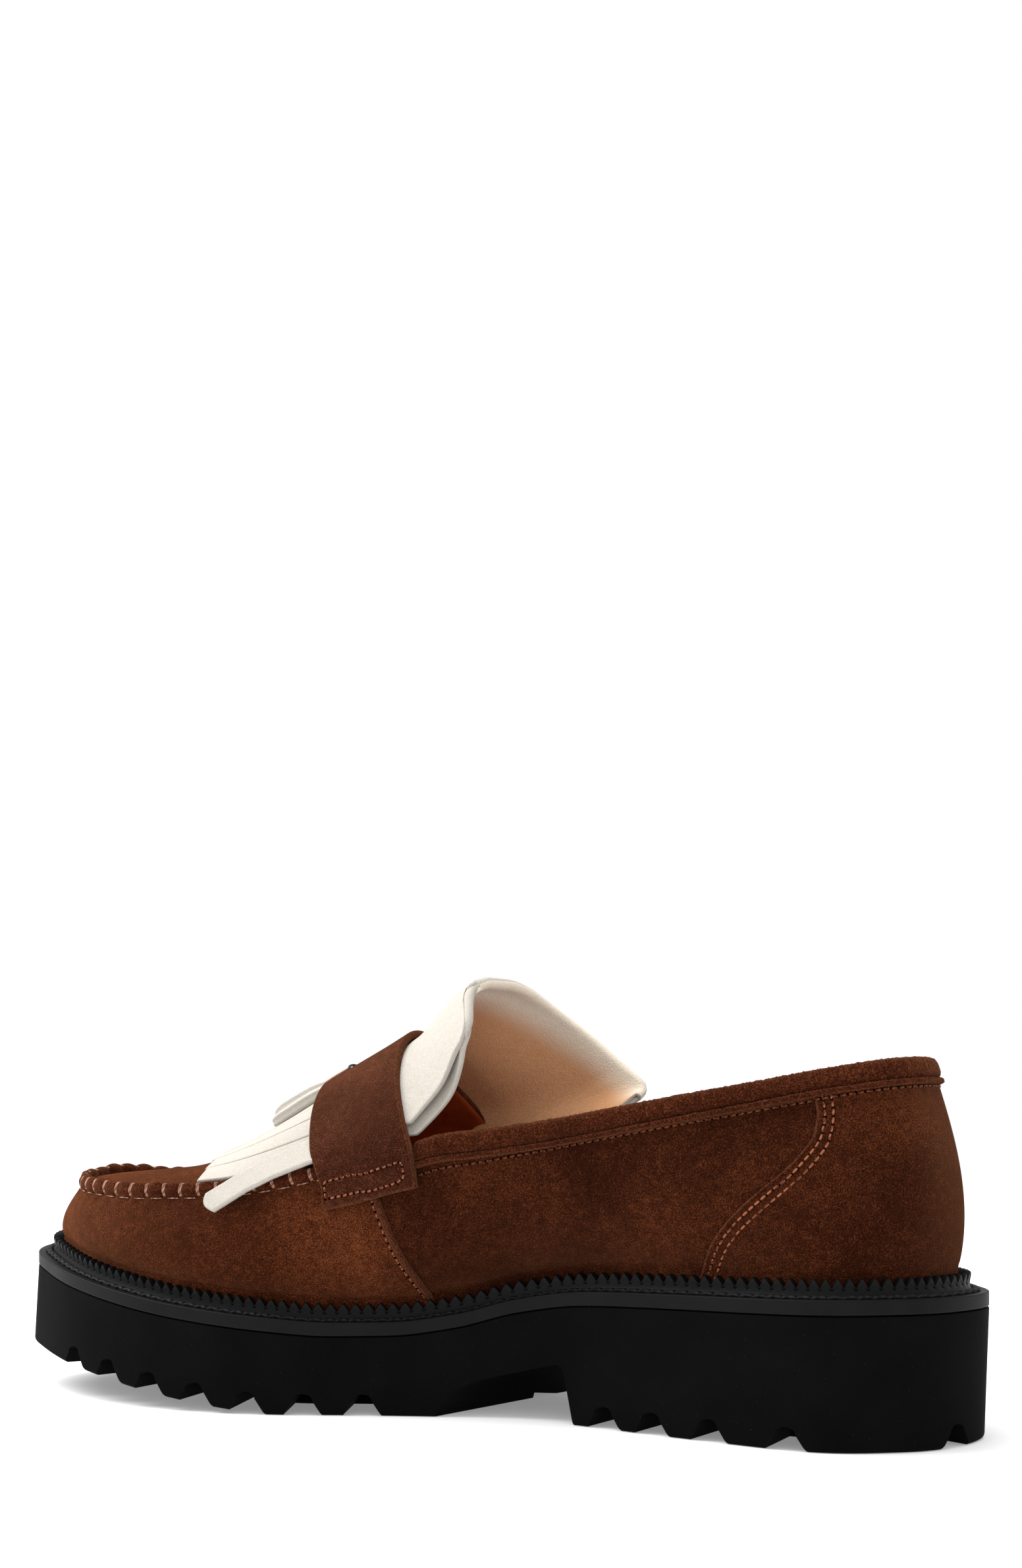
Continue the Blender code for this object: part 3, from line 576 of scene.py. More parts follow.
STRIP_INNER = ((178.0, 31.5, 84.0), (190.0, 33.8, 79.6), (200.0, 36.4, 75.0), (209.7, 39.6, 69.8),
               (218.6, 43.3, 63.9))
STRIP_OUTER = ((176.0, 37.2, 77.0), (189.1, 39.3, 72.2), (197.2, 41.0, 69.0), (205.2, 43.1, 64.9),
               (214.4, 45.8, 58.8))
VAMP_EDGE = Table(("height", "back"), (
    (20.0, 151.0), (33.1, 154.6), (39.8, 156.7), (44.0, 158.5), (50.3, 160.7), (57.9, 163.2), (63.1, 165.0),
    (110.0, 172.0)))


@dataclass
class Last:
    """The shoe's own surfaces: sole outline, wall of the upper and instep saddle."""

    length: float = 305.0
    toe_side: float = 3.0
    plate: float = 3.9
    feather: float = 8.9
    upright: float = 6.4
    bulge_low: float = 0.8
    arch_power: float = 2.1
    throat: float = 164.0
    throat_lead: float = 14.0
    apron_round: float = 236.0
    apron_tip: float = 286.3
    throat_feather: float = 153.0
    topline_back: tuple[float, float, float] = (16.0, 0.0, 100.6)
    skins: dict[Side, "Skin"] = field(init=False)

    def __post_init__(self) -> None:
        """Prepare both sides of the wall."""
        self.skins = {side: Skin(self, side) for side in Side}

    def outline_side(self, side: Side) -> tuple[Array, Array]:
        """One side of the sole outline.

        Args:
            side: which side.

        Returns:
            Points from heel to toe and their outward normals.
        """
        here = OUTLINE.column(side.name.lower())
        there = OUTLINE.column("lateral" if side is Side.MEDIAL else "medial")
        backs = OUTLINE.column("back")
        points = [(backs[0], -side.value * there[0]), (0.0, 0.0)]
        points += [(b, side.value * w) for b, w in zip(backs, here)]
        points += [(self.length, self.toe_side), (backs[-1], -side.value * there[-1])]
        path = smooth_path(np.array(points))
        tangent = np.gradient(path, axis=0)
        tangent[0], tangent[-1] = (0.0, side.value), (0.0, -side.value)
        normal = unit(np.stack([-tangent[:, 1], tangent[:, 0]], axis=-1)) * side.value
        return path, normal

    def ring(self, count: int) -> tuple[Array, Array]:
        """The whole sole outline, evenly spaced.

        Args:
            count: number of points.

        Returns:
            Plan points, medial heel to toe then lateral toe to heel, and outward normals.
        """
        medial, medial_normal = self.outline_side(Side.MEDIAL)
        lateral, lateral_normal = self.outline_side(Side.LATERAL)
        path = np.concatenate([medial, lateral[-2::-1]])
        normal = np.concatenate([medial_normal, lateral_normal[-2::-1]])
        run = lengths(path)
        at = np.arange(count) / count * run[-1]
        return sample(at, run, path), unit(sample(at, run, normal))

    def plate_top(self, back: Array) -> Array:
        """Height of the plate's upper face."""
        return PROFILE.at("foam_top", back) + GAP + self.plate

    def half_width(self, side: str, back: Array) -> Array:
        """Half width of an instep arch, rounded off at the apron's tip."""
        reach = np.clip((back - self.apron_round) / (self.apron_tip - self.apron_round), 0.0, 1.0)
        return RIBS.at(side, back) * np.sqrt(1.0 - reach * reach)

    def saddle(self, back: Array, across: Array) -> Array:
        """Points of the instep surface.

        Args:
            back: positions from the back.
            across: -1 at the lateral seam to 1 at the medial seam.

        Returns:
            Points in table millimetres.
        """
        back, across = np.broadcast_arrays(np.asarray(back, float), np.asarray(across, float))
        drop = RIBS.at("depth", back) * np.abs(across) ** self.arch_power
        tilt = np.radians(RIBS.at("tilt", back))
        half = np.where(across >= 0.0, self.half_width("medial", back), self.half_width("lateral", back))
        return np.stack([back - drop * np.sin(tilt), across * half + RIBS.at("shift", back),
                         RIBS.at("crown", back) - drop * np.cos(tilt)], axis=-1)

    def station(self, u: Array) -> Array:
        """Instep position of a wall column ahead of the throat, where u runs from 1 to 2."""
        return self.throat + (self.apron_tip - self.throat) * np.sin(0.5 * math.pi * (np.asarray(u) - 1.0))

    def column_of(self, back: Array) -> Array:
        """Wall column u of an instep position."""
        share = np.clip((np.asarray(back) - self.throat) / (self.apron_tip - self.throat), 0.0, 1.0)
        return 1.0 + np.arcsin(share) * 2.0 / math.pi

    def instep(self, back: Array, across: Array) -> Array:
        """Outer skin by instep position; beyond a seam it runs down the side wall.

        Args:
            back: positions from the back.
            across: -1 to 1 on the instep, further out on the wall.

        Returns:
            Points in table millimetres.
        """
        back, across = np.broadcast_arrays(np.asarray(back, float), np.asarray(across, float))
        top = self.saddle(back, np.clip(across, -1.0, 1.0))
        u, v = self.column_of(back), 2.0 - np.maximum(np.abs(across), 1.0)
        for side in Side:
            wall = self.skins[side].point(u, v)
            beyond = across * side.value > 1.0
            top = np.where(beyond[..., None], wall, top)
        return top

    def round_toe(self, u: dict[Side, Array], v: Array) -> Array:
        """Grid of wall points from medial columns round the toe to lateral columns.

        Args:
            u: columns per side from rear to toe, as (levels, columns).
            v: levels as a column.

        Returns:
            Grid of points.
        """
        medial = self.skins[Side.MEDIAL].point(u[Side.MEDIAL], v)
        lateral = self.skins[Side.LATERAL].point(u[Side.LATERAL], v)
        return np.concatenate([medial, lateral[:, -2::-1]], axis=1)

    def round_heel(self, u: dict[Side, Array], v: Array) -> Array:
        """Grid of wall points from lateral columns round the heel to medial columns.

        Args:
            u: columns per side from heel to front, as (levels, columns).
            v: levels as a column.

        Returns:
            Grid of points.
        """
        medial = self.skins[Side.MEDIAL].point(u[Side.MEDIAL], v)
        lateral = self.skins[Side.LATERAL].point(u[Side.LATERAL], v)
        return np.concatenate([lateral[:, :0:-1], medial], axis=1)


class Skin:
    """One side wall.

    Its columns u are 0 at the heel, 1 at the throat and 2 at the apron tip.  Its levels v are 0 at the
    feather edge and 1 on top.
    """

    samples: int = 500

    def __init__(self, last: Last, side: Side) -> None:
        """Prepare the wall's columns.

        Args:
            last: the shapes the wall is read from.
            side: which side.
        """
        self.side, self.last = side, last
        share = np.linspace(0.0, 1.0, self.samples)
        rows = np.stack([TOPLINE.column("back"), side.value * TOPLINE.column(side.name.lower()),
                         TOPLINE.column("height")], axis=-1)
        ends = np.array([rows[0] * (1.0, -1.0, 1.0), last.topline_back])
        throat = last.saddle(np.array([last.throat, last.throat + last.throat_lead]), side.value)
        top_rear = along(smooth_path(np.concatenate([ends, rows, throat])), share)
        top_front = last.saddle(last.station(1.0 + share), side.value)
        path, normal = last.outline_side(side)
        feather = path - normal * last.feather
        split = int(np.argmin(np.abs(feather[:, 0] - last.throat_feather)))
        front_share = lengths(top_front) / lengths(top_front)[-1]
        carried = np.concatenate([feather, normal], axis=1)
        run = lengths(feather)
        rear_at, front_at = share * run[split], run[split] + front_share * (run[-1] - run[split])
        foot = np.concatenate([sample(rear_at, run, carried), sample(front_at, run, carried)[1:]])
        self.u = np.concatenate([share, 1.0 + share[1:]])
        self.base = np.column_stack([foot[:, 0], foot[:, 1], last.plate_top(foot[:, 0]) + GAP])
        self.top = np.concatenate([top_rear, top_front[1:]])
        self.normal = unit(foot[:, 2:4])

    def point(self, u: Array, v: Array) -> Array:
        """Points of the wall's outer face.

        Args:
            u: columns.
            v: levels.

        Returns:
            Points in table millimetres.
        """
        u, v = np.broadcast_arrays(np.asarray(u, float), np.asarray(v, float))
        base, top = sample(u, self.u, self.base), sample(u, self.u, self.top)
        normal = sample(u, self.u, self.normal)
        upright = self.last.upright
        height = base[..., 2] + (top[..., 2] - base[..., 2]) * v
        lift = np.maximum(0.0, height - base[..., 2] - upright) / (top[..., 2] - base[..., 2] - upright)
        full = BULGE.at(self.side.name.lower(), base[..., 0]) * np.sin(math.pi * lift ** self.last.bulge_low)
        plan = base[..., :2] + (top[..., :2] - base[..., :2]) * lift[..., None] + normal * full[..., None]
        return np.concatenate([plan, height[..., None]], axis=-1)

    def edge(self, line: Table, v: Array, low: float, high: float) -> Array:
        """Columns where a panel's edge crosses each level.

        Args:
            line: the edge as back against height.
            v: levels.
            low: lowest column to look in.
            high: highest column to look in.

        Returns:
            One column per level.
        """
        below, above = np.full(len(v), low), np.full(len(v), high)
        for _ in range(40):
            middle = (below + above) / 2.0
            spot = self.point(middle, v)
            behind = spot[:, 0] < line.at("back", spot[:, 2])
            below, above = np.where(behind, middle, below), np.where(behind, above, middle)
        return (below + above) / 2.0


def quads(rows: int, columns: int, close: bool = False) -> Array:
    """Faces of a grid.

    Args:
        rows: rows of points.
        columns: points per row.
        close: whether each row closes on itself.

    Returns:
        Four point numbers per face.
    """
    index = np.arange(rows * columns).reshape(rows, columns)
    if close:
        index = np.concatenate([index, index[:, :1]], axis=1)
    corners = [index[:-1, :-1], index[:-1, 1:], index[1:, 1:], index[1:, :-1]]
    return np.stack(corners, axis=-1).reshape(-1, 4)


def grid_normals(points: Array, close: bool = False, passes: int = 2) -> Array:
    """Normals of a grid, rows across columns, smoothed over neighbours.

    Args:
        points: grid of points.
        close: whether rows close on themselves.
        passes: smoothing passes.

    Returns:
        Unit normals, along rows crossed with along columns.
    """
    if close:
        wide = np.concatenate([points[:, -1:], points, points[:, :1]], axis=1)
        along_row = np.gradient(wide, axis=1)[:, 1:-1]
    else:
        along_row = np.gradient(points, axis=1)
    normal = unit(np.cross(along_row, np.gradient(points, axis=0)))
    for _ in range(passes):
        before = np.roll(normal, 1, axis=1)
        after = np.roll(normal, -1, axis=1)
        if not close:
            before[:, 0], after[:, -1] = normal[:, 0], normal[:, -1]
        normal = unit(before + 2.0 * normal + after)
        above = np.concatenate([normal[:1], normal[:-1]])
        below = np.concatenate([normal[1:], normal[-1:]])
        normal = unit(above + 2.0 * normal + below)
    return normal


def row_run(points: Array) -> Array:
    """Length along each row of a grid."""
    steps = np.linalg.norm(np.diff(points, axis=1), axis=-1)
    return np.concatenate([np.zeros((len(points), 1)), np.cumsum(steps, axis=1)], axis=1)


def column_run(points: Array) -> Array:
    """Length along each column of a grid."""
    return row_run(points.swapaxes(0, 1)).T


def row_edge(points: Array) -> Array:
    """Distance of each grid point from the nearer end of its row."""
    run = row_run(points)
    return np.minimum(run, run[:, -1:] - run)


def any_edge(points: Array) -> Array:
    """Distance of each grid point from the nearest of the grid's four edges."""
    return np.minimum(row_edge(points), row_edge(points.swapaxes(0, 1)).T)


def cell_middles(values: Array) -> Array:
    """Value in the middle of each face of a grid."""
    return (values[:-1, :-1] + values[1:, 1:]) / 2.0


def hump(distance: Array, middle: float, width: float) -> Array:
    """Smooth hump of height 1 about a middle."""
    return np.exp(-((distance - middle) / width) ** 2)


def rounded(distance: Array, radius: float) -> Array:
    """Share of full thickness near a rounded edge, by the distance from it."""
    t = np.clip(distance / radius, 0.0, 1.0)
    return np.sqrt(1.0 - (1.0 - t) ** 2)


def edged(count: int, near: Sequence[float] = (0.002, 0.005, 0.01)) -> Array:
    """Shares from 0 to 1, closer together near both ends.

    Args:
        count: evenly spaced shares.
        near: extra shares near each end.

    Returns:
        Sorted shares.
    """
    extra = np.array(near)
    return np.unique(np.concatenate([np.linspace(0.0, 1.0, count), extra, 1.0 - extra]))


def slab(points: Array, normals: Array, top: Array | float, bottom: Array | float,
         close: bool = False) -> tuple[Array, Array]:
    """Closed thin solid over a grid.

    Args:
        points: grid of points.
        normals: outward normals.
        top: lift of the upper face.
        bottom: lift of the lower face.
        close: whether rows close on themselves.

    Returns:
        Points, then faces with the upper ones first, the lower ones next and the rim last.
    """
    rows, columns = points.shape[:2]
    count = rows * columns
    upper = points + normals * np.broadcast_to(top, (rows, columns))[..., None]
    lower = points + normals * np.broadcast_to(bottom, (rows, columns))[..., None]
    up = quads(rows, columns, close)
    faces = [up, up[:, ::-1] + count]
    index = np.arange(count).reshape(rows, columns)
    loops = [index[0], index[-1]]
    if not close:
        loops = [np.concatenate([index[0, :-1], index[:-1, -1], index[-1, :0:-1], index[:0:-1, 0]])]
    for loop in loops:
        after = np.roll(loop, -1)
        faces.append(np.stack([loop, after, after + count, loop + count], axis=-1))
    return np.concatenate([upper.reshape(-1, 3), lower.reshape(-1, 3)]), np.concatenate(faces)


def circle(count: int) -> Array:
    """Even angles round a full turn."""
    return FULL_TURN * np.arange(count) / count


def soft_edge(inside: Array, radius: float, drop: float) -> Array:
    """Share of full thickness where a rounded edge takes off a share of it."""
    return 1.0 - drop + drop * rounded(inside, radius)


def stacked(plan: Array, normal: Array, rings: Sequence[tuple[Array | float, Array]]) -> Array:
    """Closed rings round an outline.

    Args:
        plan: points of the outline.
        normal: their outward normals.
        rings: inset and height of each ring.

    Returns:
        Points as (rings, points, 3).
    """
    insets = [np.broadcast_to(inset, len(plan))[:, None] for inset, _ in rings]
    return np.array([np.column_stack([plan - normal * inset, ring[1]]) for inset, ring in zip(insets, rings)])


class Cap(Enum):
    """How the first and last ring of a loft are closed."""

    FLAT = auto()
    LADDER = auto()
    JOINED = auto()


@dataclass
class Solid:
    """Mesh under construction: points, faces and a finish number per face."""

    points: list[Array] = field(default_factory=list)
    faces: list[tuple[int, ...]] = field(default_factory=list)
    finish: list[int] = field(default_factory=list)
    size: int = 0

    def add(self, points: Array, faces: Array, finish: int | Array = 0) -> None:
        """Add a piece.

        Args:
            points: its points in table millimetres.
            faces: its faces.
            finish: finish number, or one per face.
        """
        flat = np.asarray(points, float).reshape(-1, 3)
        self.points.append(flat)
        self.faces += map(tuple, (np.asarray(faces) + self.size).tolist())
        self.finish += np.broadcast_to(finish, len(faces)).tolist()
        self.size += len(flat)

    def close(self, faces: Array, finish: int = 0) -> None:
        """Add faces over points that are there already."""
        self.faces += map(tuple, faces.tolist())
        self.finish += [finish] * len(faces)

    def loft(self, rings: Array, cap: Cap = Cap.FLAT) -> None:
        """Add a skin over closed rings.

        Args:
            rings: points as (rings, points, 3).
            cap: how the first and last ring are closed.
        """
        count, around = rings.shape[:2]
        first = np.arange(around) + self.size
        last = first + (count - 1) * around
        self.add(rings, quads(count, around, True))
        if cap is Cap.JOINED:
            self.close(np.stack([last, np.roll(last, -1), np.roll(first, -1), first], axis=-1))
        elif cap is Cap.FLAT:
            self.close(np.stack([first, last]))
        else:
            half = around // 2
            for ring in (first, last):
                back = ring[::-1]
                self.close(np.stack([ring[:half - 1], ring[1:half], back[1:half], back[:half - 1]], axis=-1))

    def panel(self, grid: Array, normals: Array, top: Array | float, bottom: Array | float, under: int = 0,
              rim: int = 0, marked: Array | None = None, close: bool = False) -> None:
        """Add a thin closed panel whose upper side has the finish number 0.

        Args:
            grid: grid of points.
            normals: outward normals.
            top: lift of the upper side.
            bottom: lift of the lower side.
            under: finish number of the lower side.
            rim: finish number of the rim.
            marked: which upper faces have the finish number 1 instead.
            close: whether rows close on themselves.
        """
        points, faces = slab(grid, normals, top, bottom, close)
        count = len(quads(*grid.shape[:2], close))
        finish = np.full(len(faces), rim)
        finish[:count] = 0 if marked is None else marked.ravel()
        finish[count:2 * count] = under
        self.add(points, faces, finish)

    def tubes(self, centres: Array, across: Array, up: Array, radius: Array | float, around: int = 8,
              finish: int = 0, flat: float = 1.0) -> None:
        """Add short capped rods.

        Args:
            centres: centre lines as (rods, steps, 3).
            across: first unit direction of the section.
            up: second unit direction of the section.
            radius: radius at each step.
            around: points round a section.
            finish: finish number.
            flat: height of the section against its width.
        """
        rods, steps = centres.shape[:2]
        turn = circle(around)
        reach = np.broadcast_to(radius, (rods, steps))[:, :, None, None]
        ring = np.cos(turn)[:, None] * across[:, :, None] + flat * np.sin(turn)[:, None] * up[:, :, None]
        first = (np.arange(rods) * steps * around)[:, None, None]
        loop = np.arange(around)[None] + first[:, :, 0] + self.size
        faces = (quads(steps, around, True)[None] + first).reshape(-1, 4)
        self.add(centres[:, :, None] + reach * ring, faces, finish)
        self.close(loop, finish)
        self.close(loop[:, ::-1] + (steps - 1) * around, finish)

    def make(self, name: str, finishes: Sequence[Finish], stands_for: Sequence[str] = (),
             crisp: float | None = None) -> bpy.types.Object:
        """Turn the solid into a dressed piece that rides on the shoe.

        Args:
            name: piece name.
            finishes: finishes by finish number.
            stands_for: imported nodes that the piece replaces.
            crisp: angle in degrees above which an edge stays sharp.

        Returns:
            The new object.
        """
        points = (np.concatenate(self.points) + np.array([-MIDDLE, AXIS_SHIFT, 0.0])) * MM
        mesh = bpy.data.meshes.new(name)
        mesh.from_pydata(points.tolist(), [], self.faces)
        mesh.polygons.foreach_set("material_index", self.finish)
        work = bmesh.new()
        work.from_mesh(mesh)
        bmesh.ops.recalc_face_normals(work, faces=work.faces[:])
        for face in work.faces:
            face.smooth = True
        if crisp is not None:
            for edge in work.edges:
                edge.smooth = edge.calc_face_angle(0.0) < math.radians(crisp)
        work.to_mesh(mesh)
        work.free()
        for finish in finishes:
            mesh.materials.append(finish.material)
        item = bpy.data.objects.new(name, mesh)
        bpy.context.scene.collection.objects.link(item)
        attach(item, "root")
        if stands_for:
            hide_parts(*stands_for)
        LOG.info("%s: %d points, %d faces", name, len(mesh.vertices), len(mesh.polygons))
        return item


@dataclass
class SeamLine:
    """Row of machine stitches along a line on a surface, with its needle holes."""

    pitch: float = 2.2
    length: float = 1.75
    thread: float = 0.33
    taper: float = 0.4
    proud: float = 0.16
    sunk: float = 0.12
    hole: float = 0.42
    hole_depth: float = 0.4
    hole_rim: float = 0.05
    probe: float = 0.2

    def sew(self, solid: Solid, points: Array, normals: Array) -> None:
        """Add stitches (finish 0) and holes (finish 1).

        Args:
            solid: mesh to add to.
            points: line on the surface.
            normals: surface normals along it.
        """
        run = lengths(points)
        count = max(1, int(run[-1] / self.pitch))
        pitch = run[-1] / count
        steps = np.linspace(-0.5, 0.5, 7)
        at = (np.arange(count)[:, None] + 0.5) * pitch + steps * self.length * pitch / self.pitch
        centre, up = sample(at, run, points), unit(sample(at, run, normals))
        side = np.cross(up, unit(np.gradient(centre, axis=1)))
        arch = 1.0 - (2.0 * steps) ** 4
        centre = centre + up * (self.proud * arch - self.sunk)[None, :, None]
        solid.tubes(centre, side, up, self.thread * (1.0 - self.taper + self.taper * arch))
        at = np.arange(count + 1)[:, None] * pitch + np.zeros(2)
        centre, up = sample(at, run, points), unit(sample(at, run, normals))
        centre = centre + up * np.array([-self.hole_depth, self.hole_rim])[None, :, None]
        forward = unit(sample(at + self.probe, run, points) - sample(at - self.probe, run, points))
        solid.tubes(centre, np.cross(up, forward), forward, self.hole, finish=1)


def offset_line(points: Array, normals: Array, shift: float, lift: float) -> Array:
    """A line moved sideways within a surface.

    Args:
        points: line on the surface.
        normals: surface normals along it.
        shift: distance to the left of the line's direction, seen from outside.
        lift: distance out of the surface.

    Returns:
        The moved line.
    """
    forward = unit(np.gradient(points, axis=0))
    return points + np.cross(normals, forward) * shift + normals * lift


@dataclass
class LugSole:
    """Foam unit sole: leaning side, rounded foot, arch recess and edge lugs with rounded notch roofs.

    The arch recess is given per side as across, front, foot and its lowest and highest roof.
    """

    last: Last
    columns: int = 360
    foot_round: float = 1.4
    top_round: float = 0.5
    notch_height: float = 6.2
    notch_root: float = 2.5
    notch_mouth: float = 5.7
    notch_splay: float = 2.4
    notch_slack: float = 0.4
    notch_reach: float = 21.0
    notch_out: float = 5.0
    notch_round: float = 2.0
    below: float = -3.0
    forefoot_first: float = 170.6
    forefoot_pitch: float = 16.2
    forefoot_count: int = 7
    lateral_extra: int = 2
    heel_notches: tuple[float, ...] = (99.6, 84.7, 67.8, 46.2, 4.8)
    arch_sides: tuple[tuple[float, ...], ...] = (
        (60.0, 154.5, 162.0, 7.4, 16.6), (-60.0, 118.5, 124.0, 15.0, 16.6))
    arch_rear: tuple[float, ...] = (114.6, 113.0, 112.2, 108.5)
    edge_soft: float = 1.1
    soft_from_deg: float = 38.0

    def body(self) -> Array:
        """Block before it is notched.

        Returns:
            Rings of points from the foot to the top.
        """
        plan, normal = self.last.ring(self.columns)
        back, rings = plan[:, 0], []
        for turn in np.radians([0.0, 22.5, 45.0, 67.5, 90.0]):
            inset = self.foot_round * (1.0 - math.sin(turn)) - PROFILE.at("lean", back)
            rings.append((inset, PROFILE.at("tread", back) + self.foot_round * (1.0 - math.cos(turn))))
        for turn in np.radians([0.0, 45.0, 90.0]):
            height = PROFILE.at("foam_top", back) - self.top_round * (1.0 - math.sin(turn))
            rings.append((self.top_round * (1.0 - math.cos(turn)), height))
        return stacked(plan, normal, rings)

    def notch_section(self) -> Array:
        """Outline of a notch with a rounded roof.

        Returns:
            Pairs of width and height, mouth to mouth.
        """
        right = [(self.notch_mouth + self.notch_splay, self.below), (self.notch_mouth, 0.0)]
        for angle in np.radians(np.linspace(0.0, 90.0, 6)):
            narrow = self.notch_round * (1.0 - math.cos(angle)) - self.notch_slack * math.cos(angle)
            drop = self.notch_round * (1.0 - math.sin(angle))
            right.append((self.notch_root - narrow, self.notch_height - drop))
        return np.array(right + [(-width, height) for width, height in reversed(right)])

    def notches(self) -> bpy.types.Object:
        """Make all notches as one cutter.

        Returns:
            The cutter.
        """
        forefoot = [self.forefoot_first + i * self.forefoot_pitch
                    for i in range(-self.lateral_extra, self.forefoot_count)]
        stations = [(Side.MEDIAL, back) for back in forefoot[self.lateral_extra:]]
        stations += [(Side.LATERAL, back) for back in forefoot]
        stations += [(side, back) for back in self.heel_notches for side in Side]
        section = self.notch_section()
        solid = Solid()
        for side, back in stations:
            path, normal = self.last.outline_side(side)
            edge = sample(np.array([back]), path[:, 0], np.concatenate([path, normal], axis=1))[0]
            out = np.array([edge[2], edge[3], 0.0])
            out /= np.linalg.norm(out)
            sweep = np.array([-out[1], out[0], 0.0])
            floor = np.array([edge[0], edge[1], float(PROFILE.at("tread", back))])
            solid.loft(np.array([floor + out * reach + sweep * section[:, :1] + UP * section[:, 1:]
                                 for reach in (self.notch_out, -self.notch_reach)]))
        return solid.make("notch_cutter", [])

    def arch(self) -> bpy.types.Object:
        """Make the recess under the waist as a cutter, longer on the medial side.

        Returns:
            The cutter.
        """
        rows = []
        top, bend, drop, heel = self.arch_rear
        for across, front, foot, low, high in self.arch_sides:
            outline = [(foot, self.below), (front + 1.2, low - 2.2), (front, low - 0.6), (front - 1.6, low),
                       (top, high), (bend, high - 0.4), (drop, high - 1.8), (heel, self.below)]
            rows.append([(back, across, height) for back, height in outline])
        solid = Solid()
        solid.loft(np.array(rows))
        return solid.make("arch_cutter", [])

    def build(self) -> None:
        """Notch the block, soften its edges and dress it."""
        solid = Solid()
        solid.loft(self.body(), Cap.LADDER)
        sole = solid.make("lug_sole", [Finish.FOAM], ("outsole",))
        bpy.context.view_layer.objects.active = sole
        for cutter in (self.arch(), self.notches()):
            carve = sole.modifiers.new("carve", "BOOLEAN")
            carve.operation, carve.solver, carve.object = "DIFFERENCE", "EXACT", cutter
            carve.use_self = True
            bpy.ops.object.modifier_apply(modifier=carve.name)
            bpy.data.objects.remove(cutter, do_unlink=True)
        soften = sole.modifiers.new("soften", "BEVEL")
        soften.width, soften.segments = self.edge_soft * MM, 2
        soften.limit_method, soften.angle_limit = "ANGLE", math.radians(self.soft_from_deg)
        soften.use_clamp_overlap = True
        bpy.ops.object.modifier_apply(modifier=soften.name)
        sole.modifiers.new("even_shading", "WEIGHTED_NORMAL").keep_sharp = True


@dataclass
class SolePlate:
    """Rubber plate on the foam with trimmed, slightly rounded edges and the welt's chain stitch."""

    last: Last
    columns: int = 420
    edge_round: float = 0.22
    edge_hold: float = 0.5
    groove: float = 3.4
    groove_half: float = 1.1
    groove_deep: float = 0.5
    pitch: float = 3.9
    thread: float = 0.95
    sway: float = 0.55
    overlap: float = 0.56
    sunk: float = 0.1
    proud: float = 0.4
    crisp_deg: float = 50.0

    def build(self) -> None:
        """Make the plate and the stitch that runs round its top."""
        plan, normal = self.last.ring(self.columns)
        low, high = PROFILE.at("foam_top", plan[:, 0]) + GAP, self.last.plate_top(plan[:, 0])
        edge, hold, groove, half = self.edge_round, self.edge_hold, self.groove, self.groove_half
        section = [(hold, low), (edge, low), (0.0, low + edge), (0.0, low + hold), (0.0, high - hold),
                   (0.0, high - edge), (0.3 * edge, high - 0.3 * edge), (edge, high), (hold, high),
                   (groove - half, high), (groove, high - self.groove_deep), (groove + half, high)]
        solid = Solid()
        solid.loft(stacked(plan, normal, section), Cap.LADDER)
        solid.make("sole_plate", [Finish.PLATE], ("midsole",), self.crisp_deg)
        self.chain()

    def chain(self) -> None:
        """Waxed stitches lying in the groove, each slanted against the next."""
        plan, normal = self.last.ring(1200)
        line = np.column_stack([plan - normal * self.groove, self.last.plate_top(plan[:, 0])])
        line = np.concatenate([line, line[:1]])
        run = lengths(line)
        count = int(run[-1] / self.pitch)
        steps = np.linspace(-self.overlap, self.overlap, 9)
        at = (np.arange(count)[:, None] + 0.5 + steps) * run[-1] / count
        centre = sample(at % run[-1], run, line)
        forward = unit(np.gradient(centre, axis=1))
        side = unit(np.cross(UP, forward))
        up = np.cross(forward, side)
        arch = 1.0 - (steps / self.overlap) ** 4
        lift = up * (self.proud * arch - self.sunk)[None, :, None]
        radius = self.thread * (0.55 + 0.35 * arch)
        solid = Solid()
        for sign in (1.0, -1.0):
            sway = sign * self.sway * np.sin(0.5 * math.pi * steps / self.overlap)
            solid.tubes(centre + side * sway[None, :, None] + lift, side, up, radius, around=7, flat=0.8)
        solid.make("welt_chain_stitch", [Finish.WELT_THREAD])


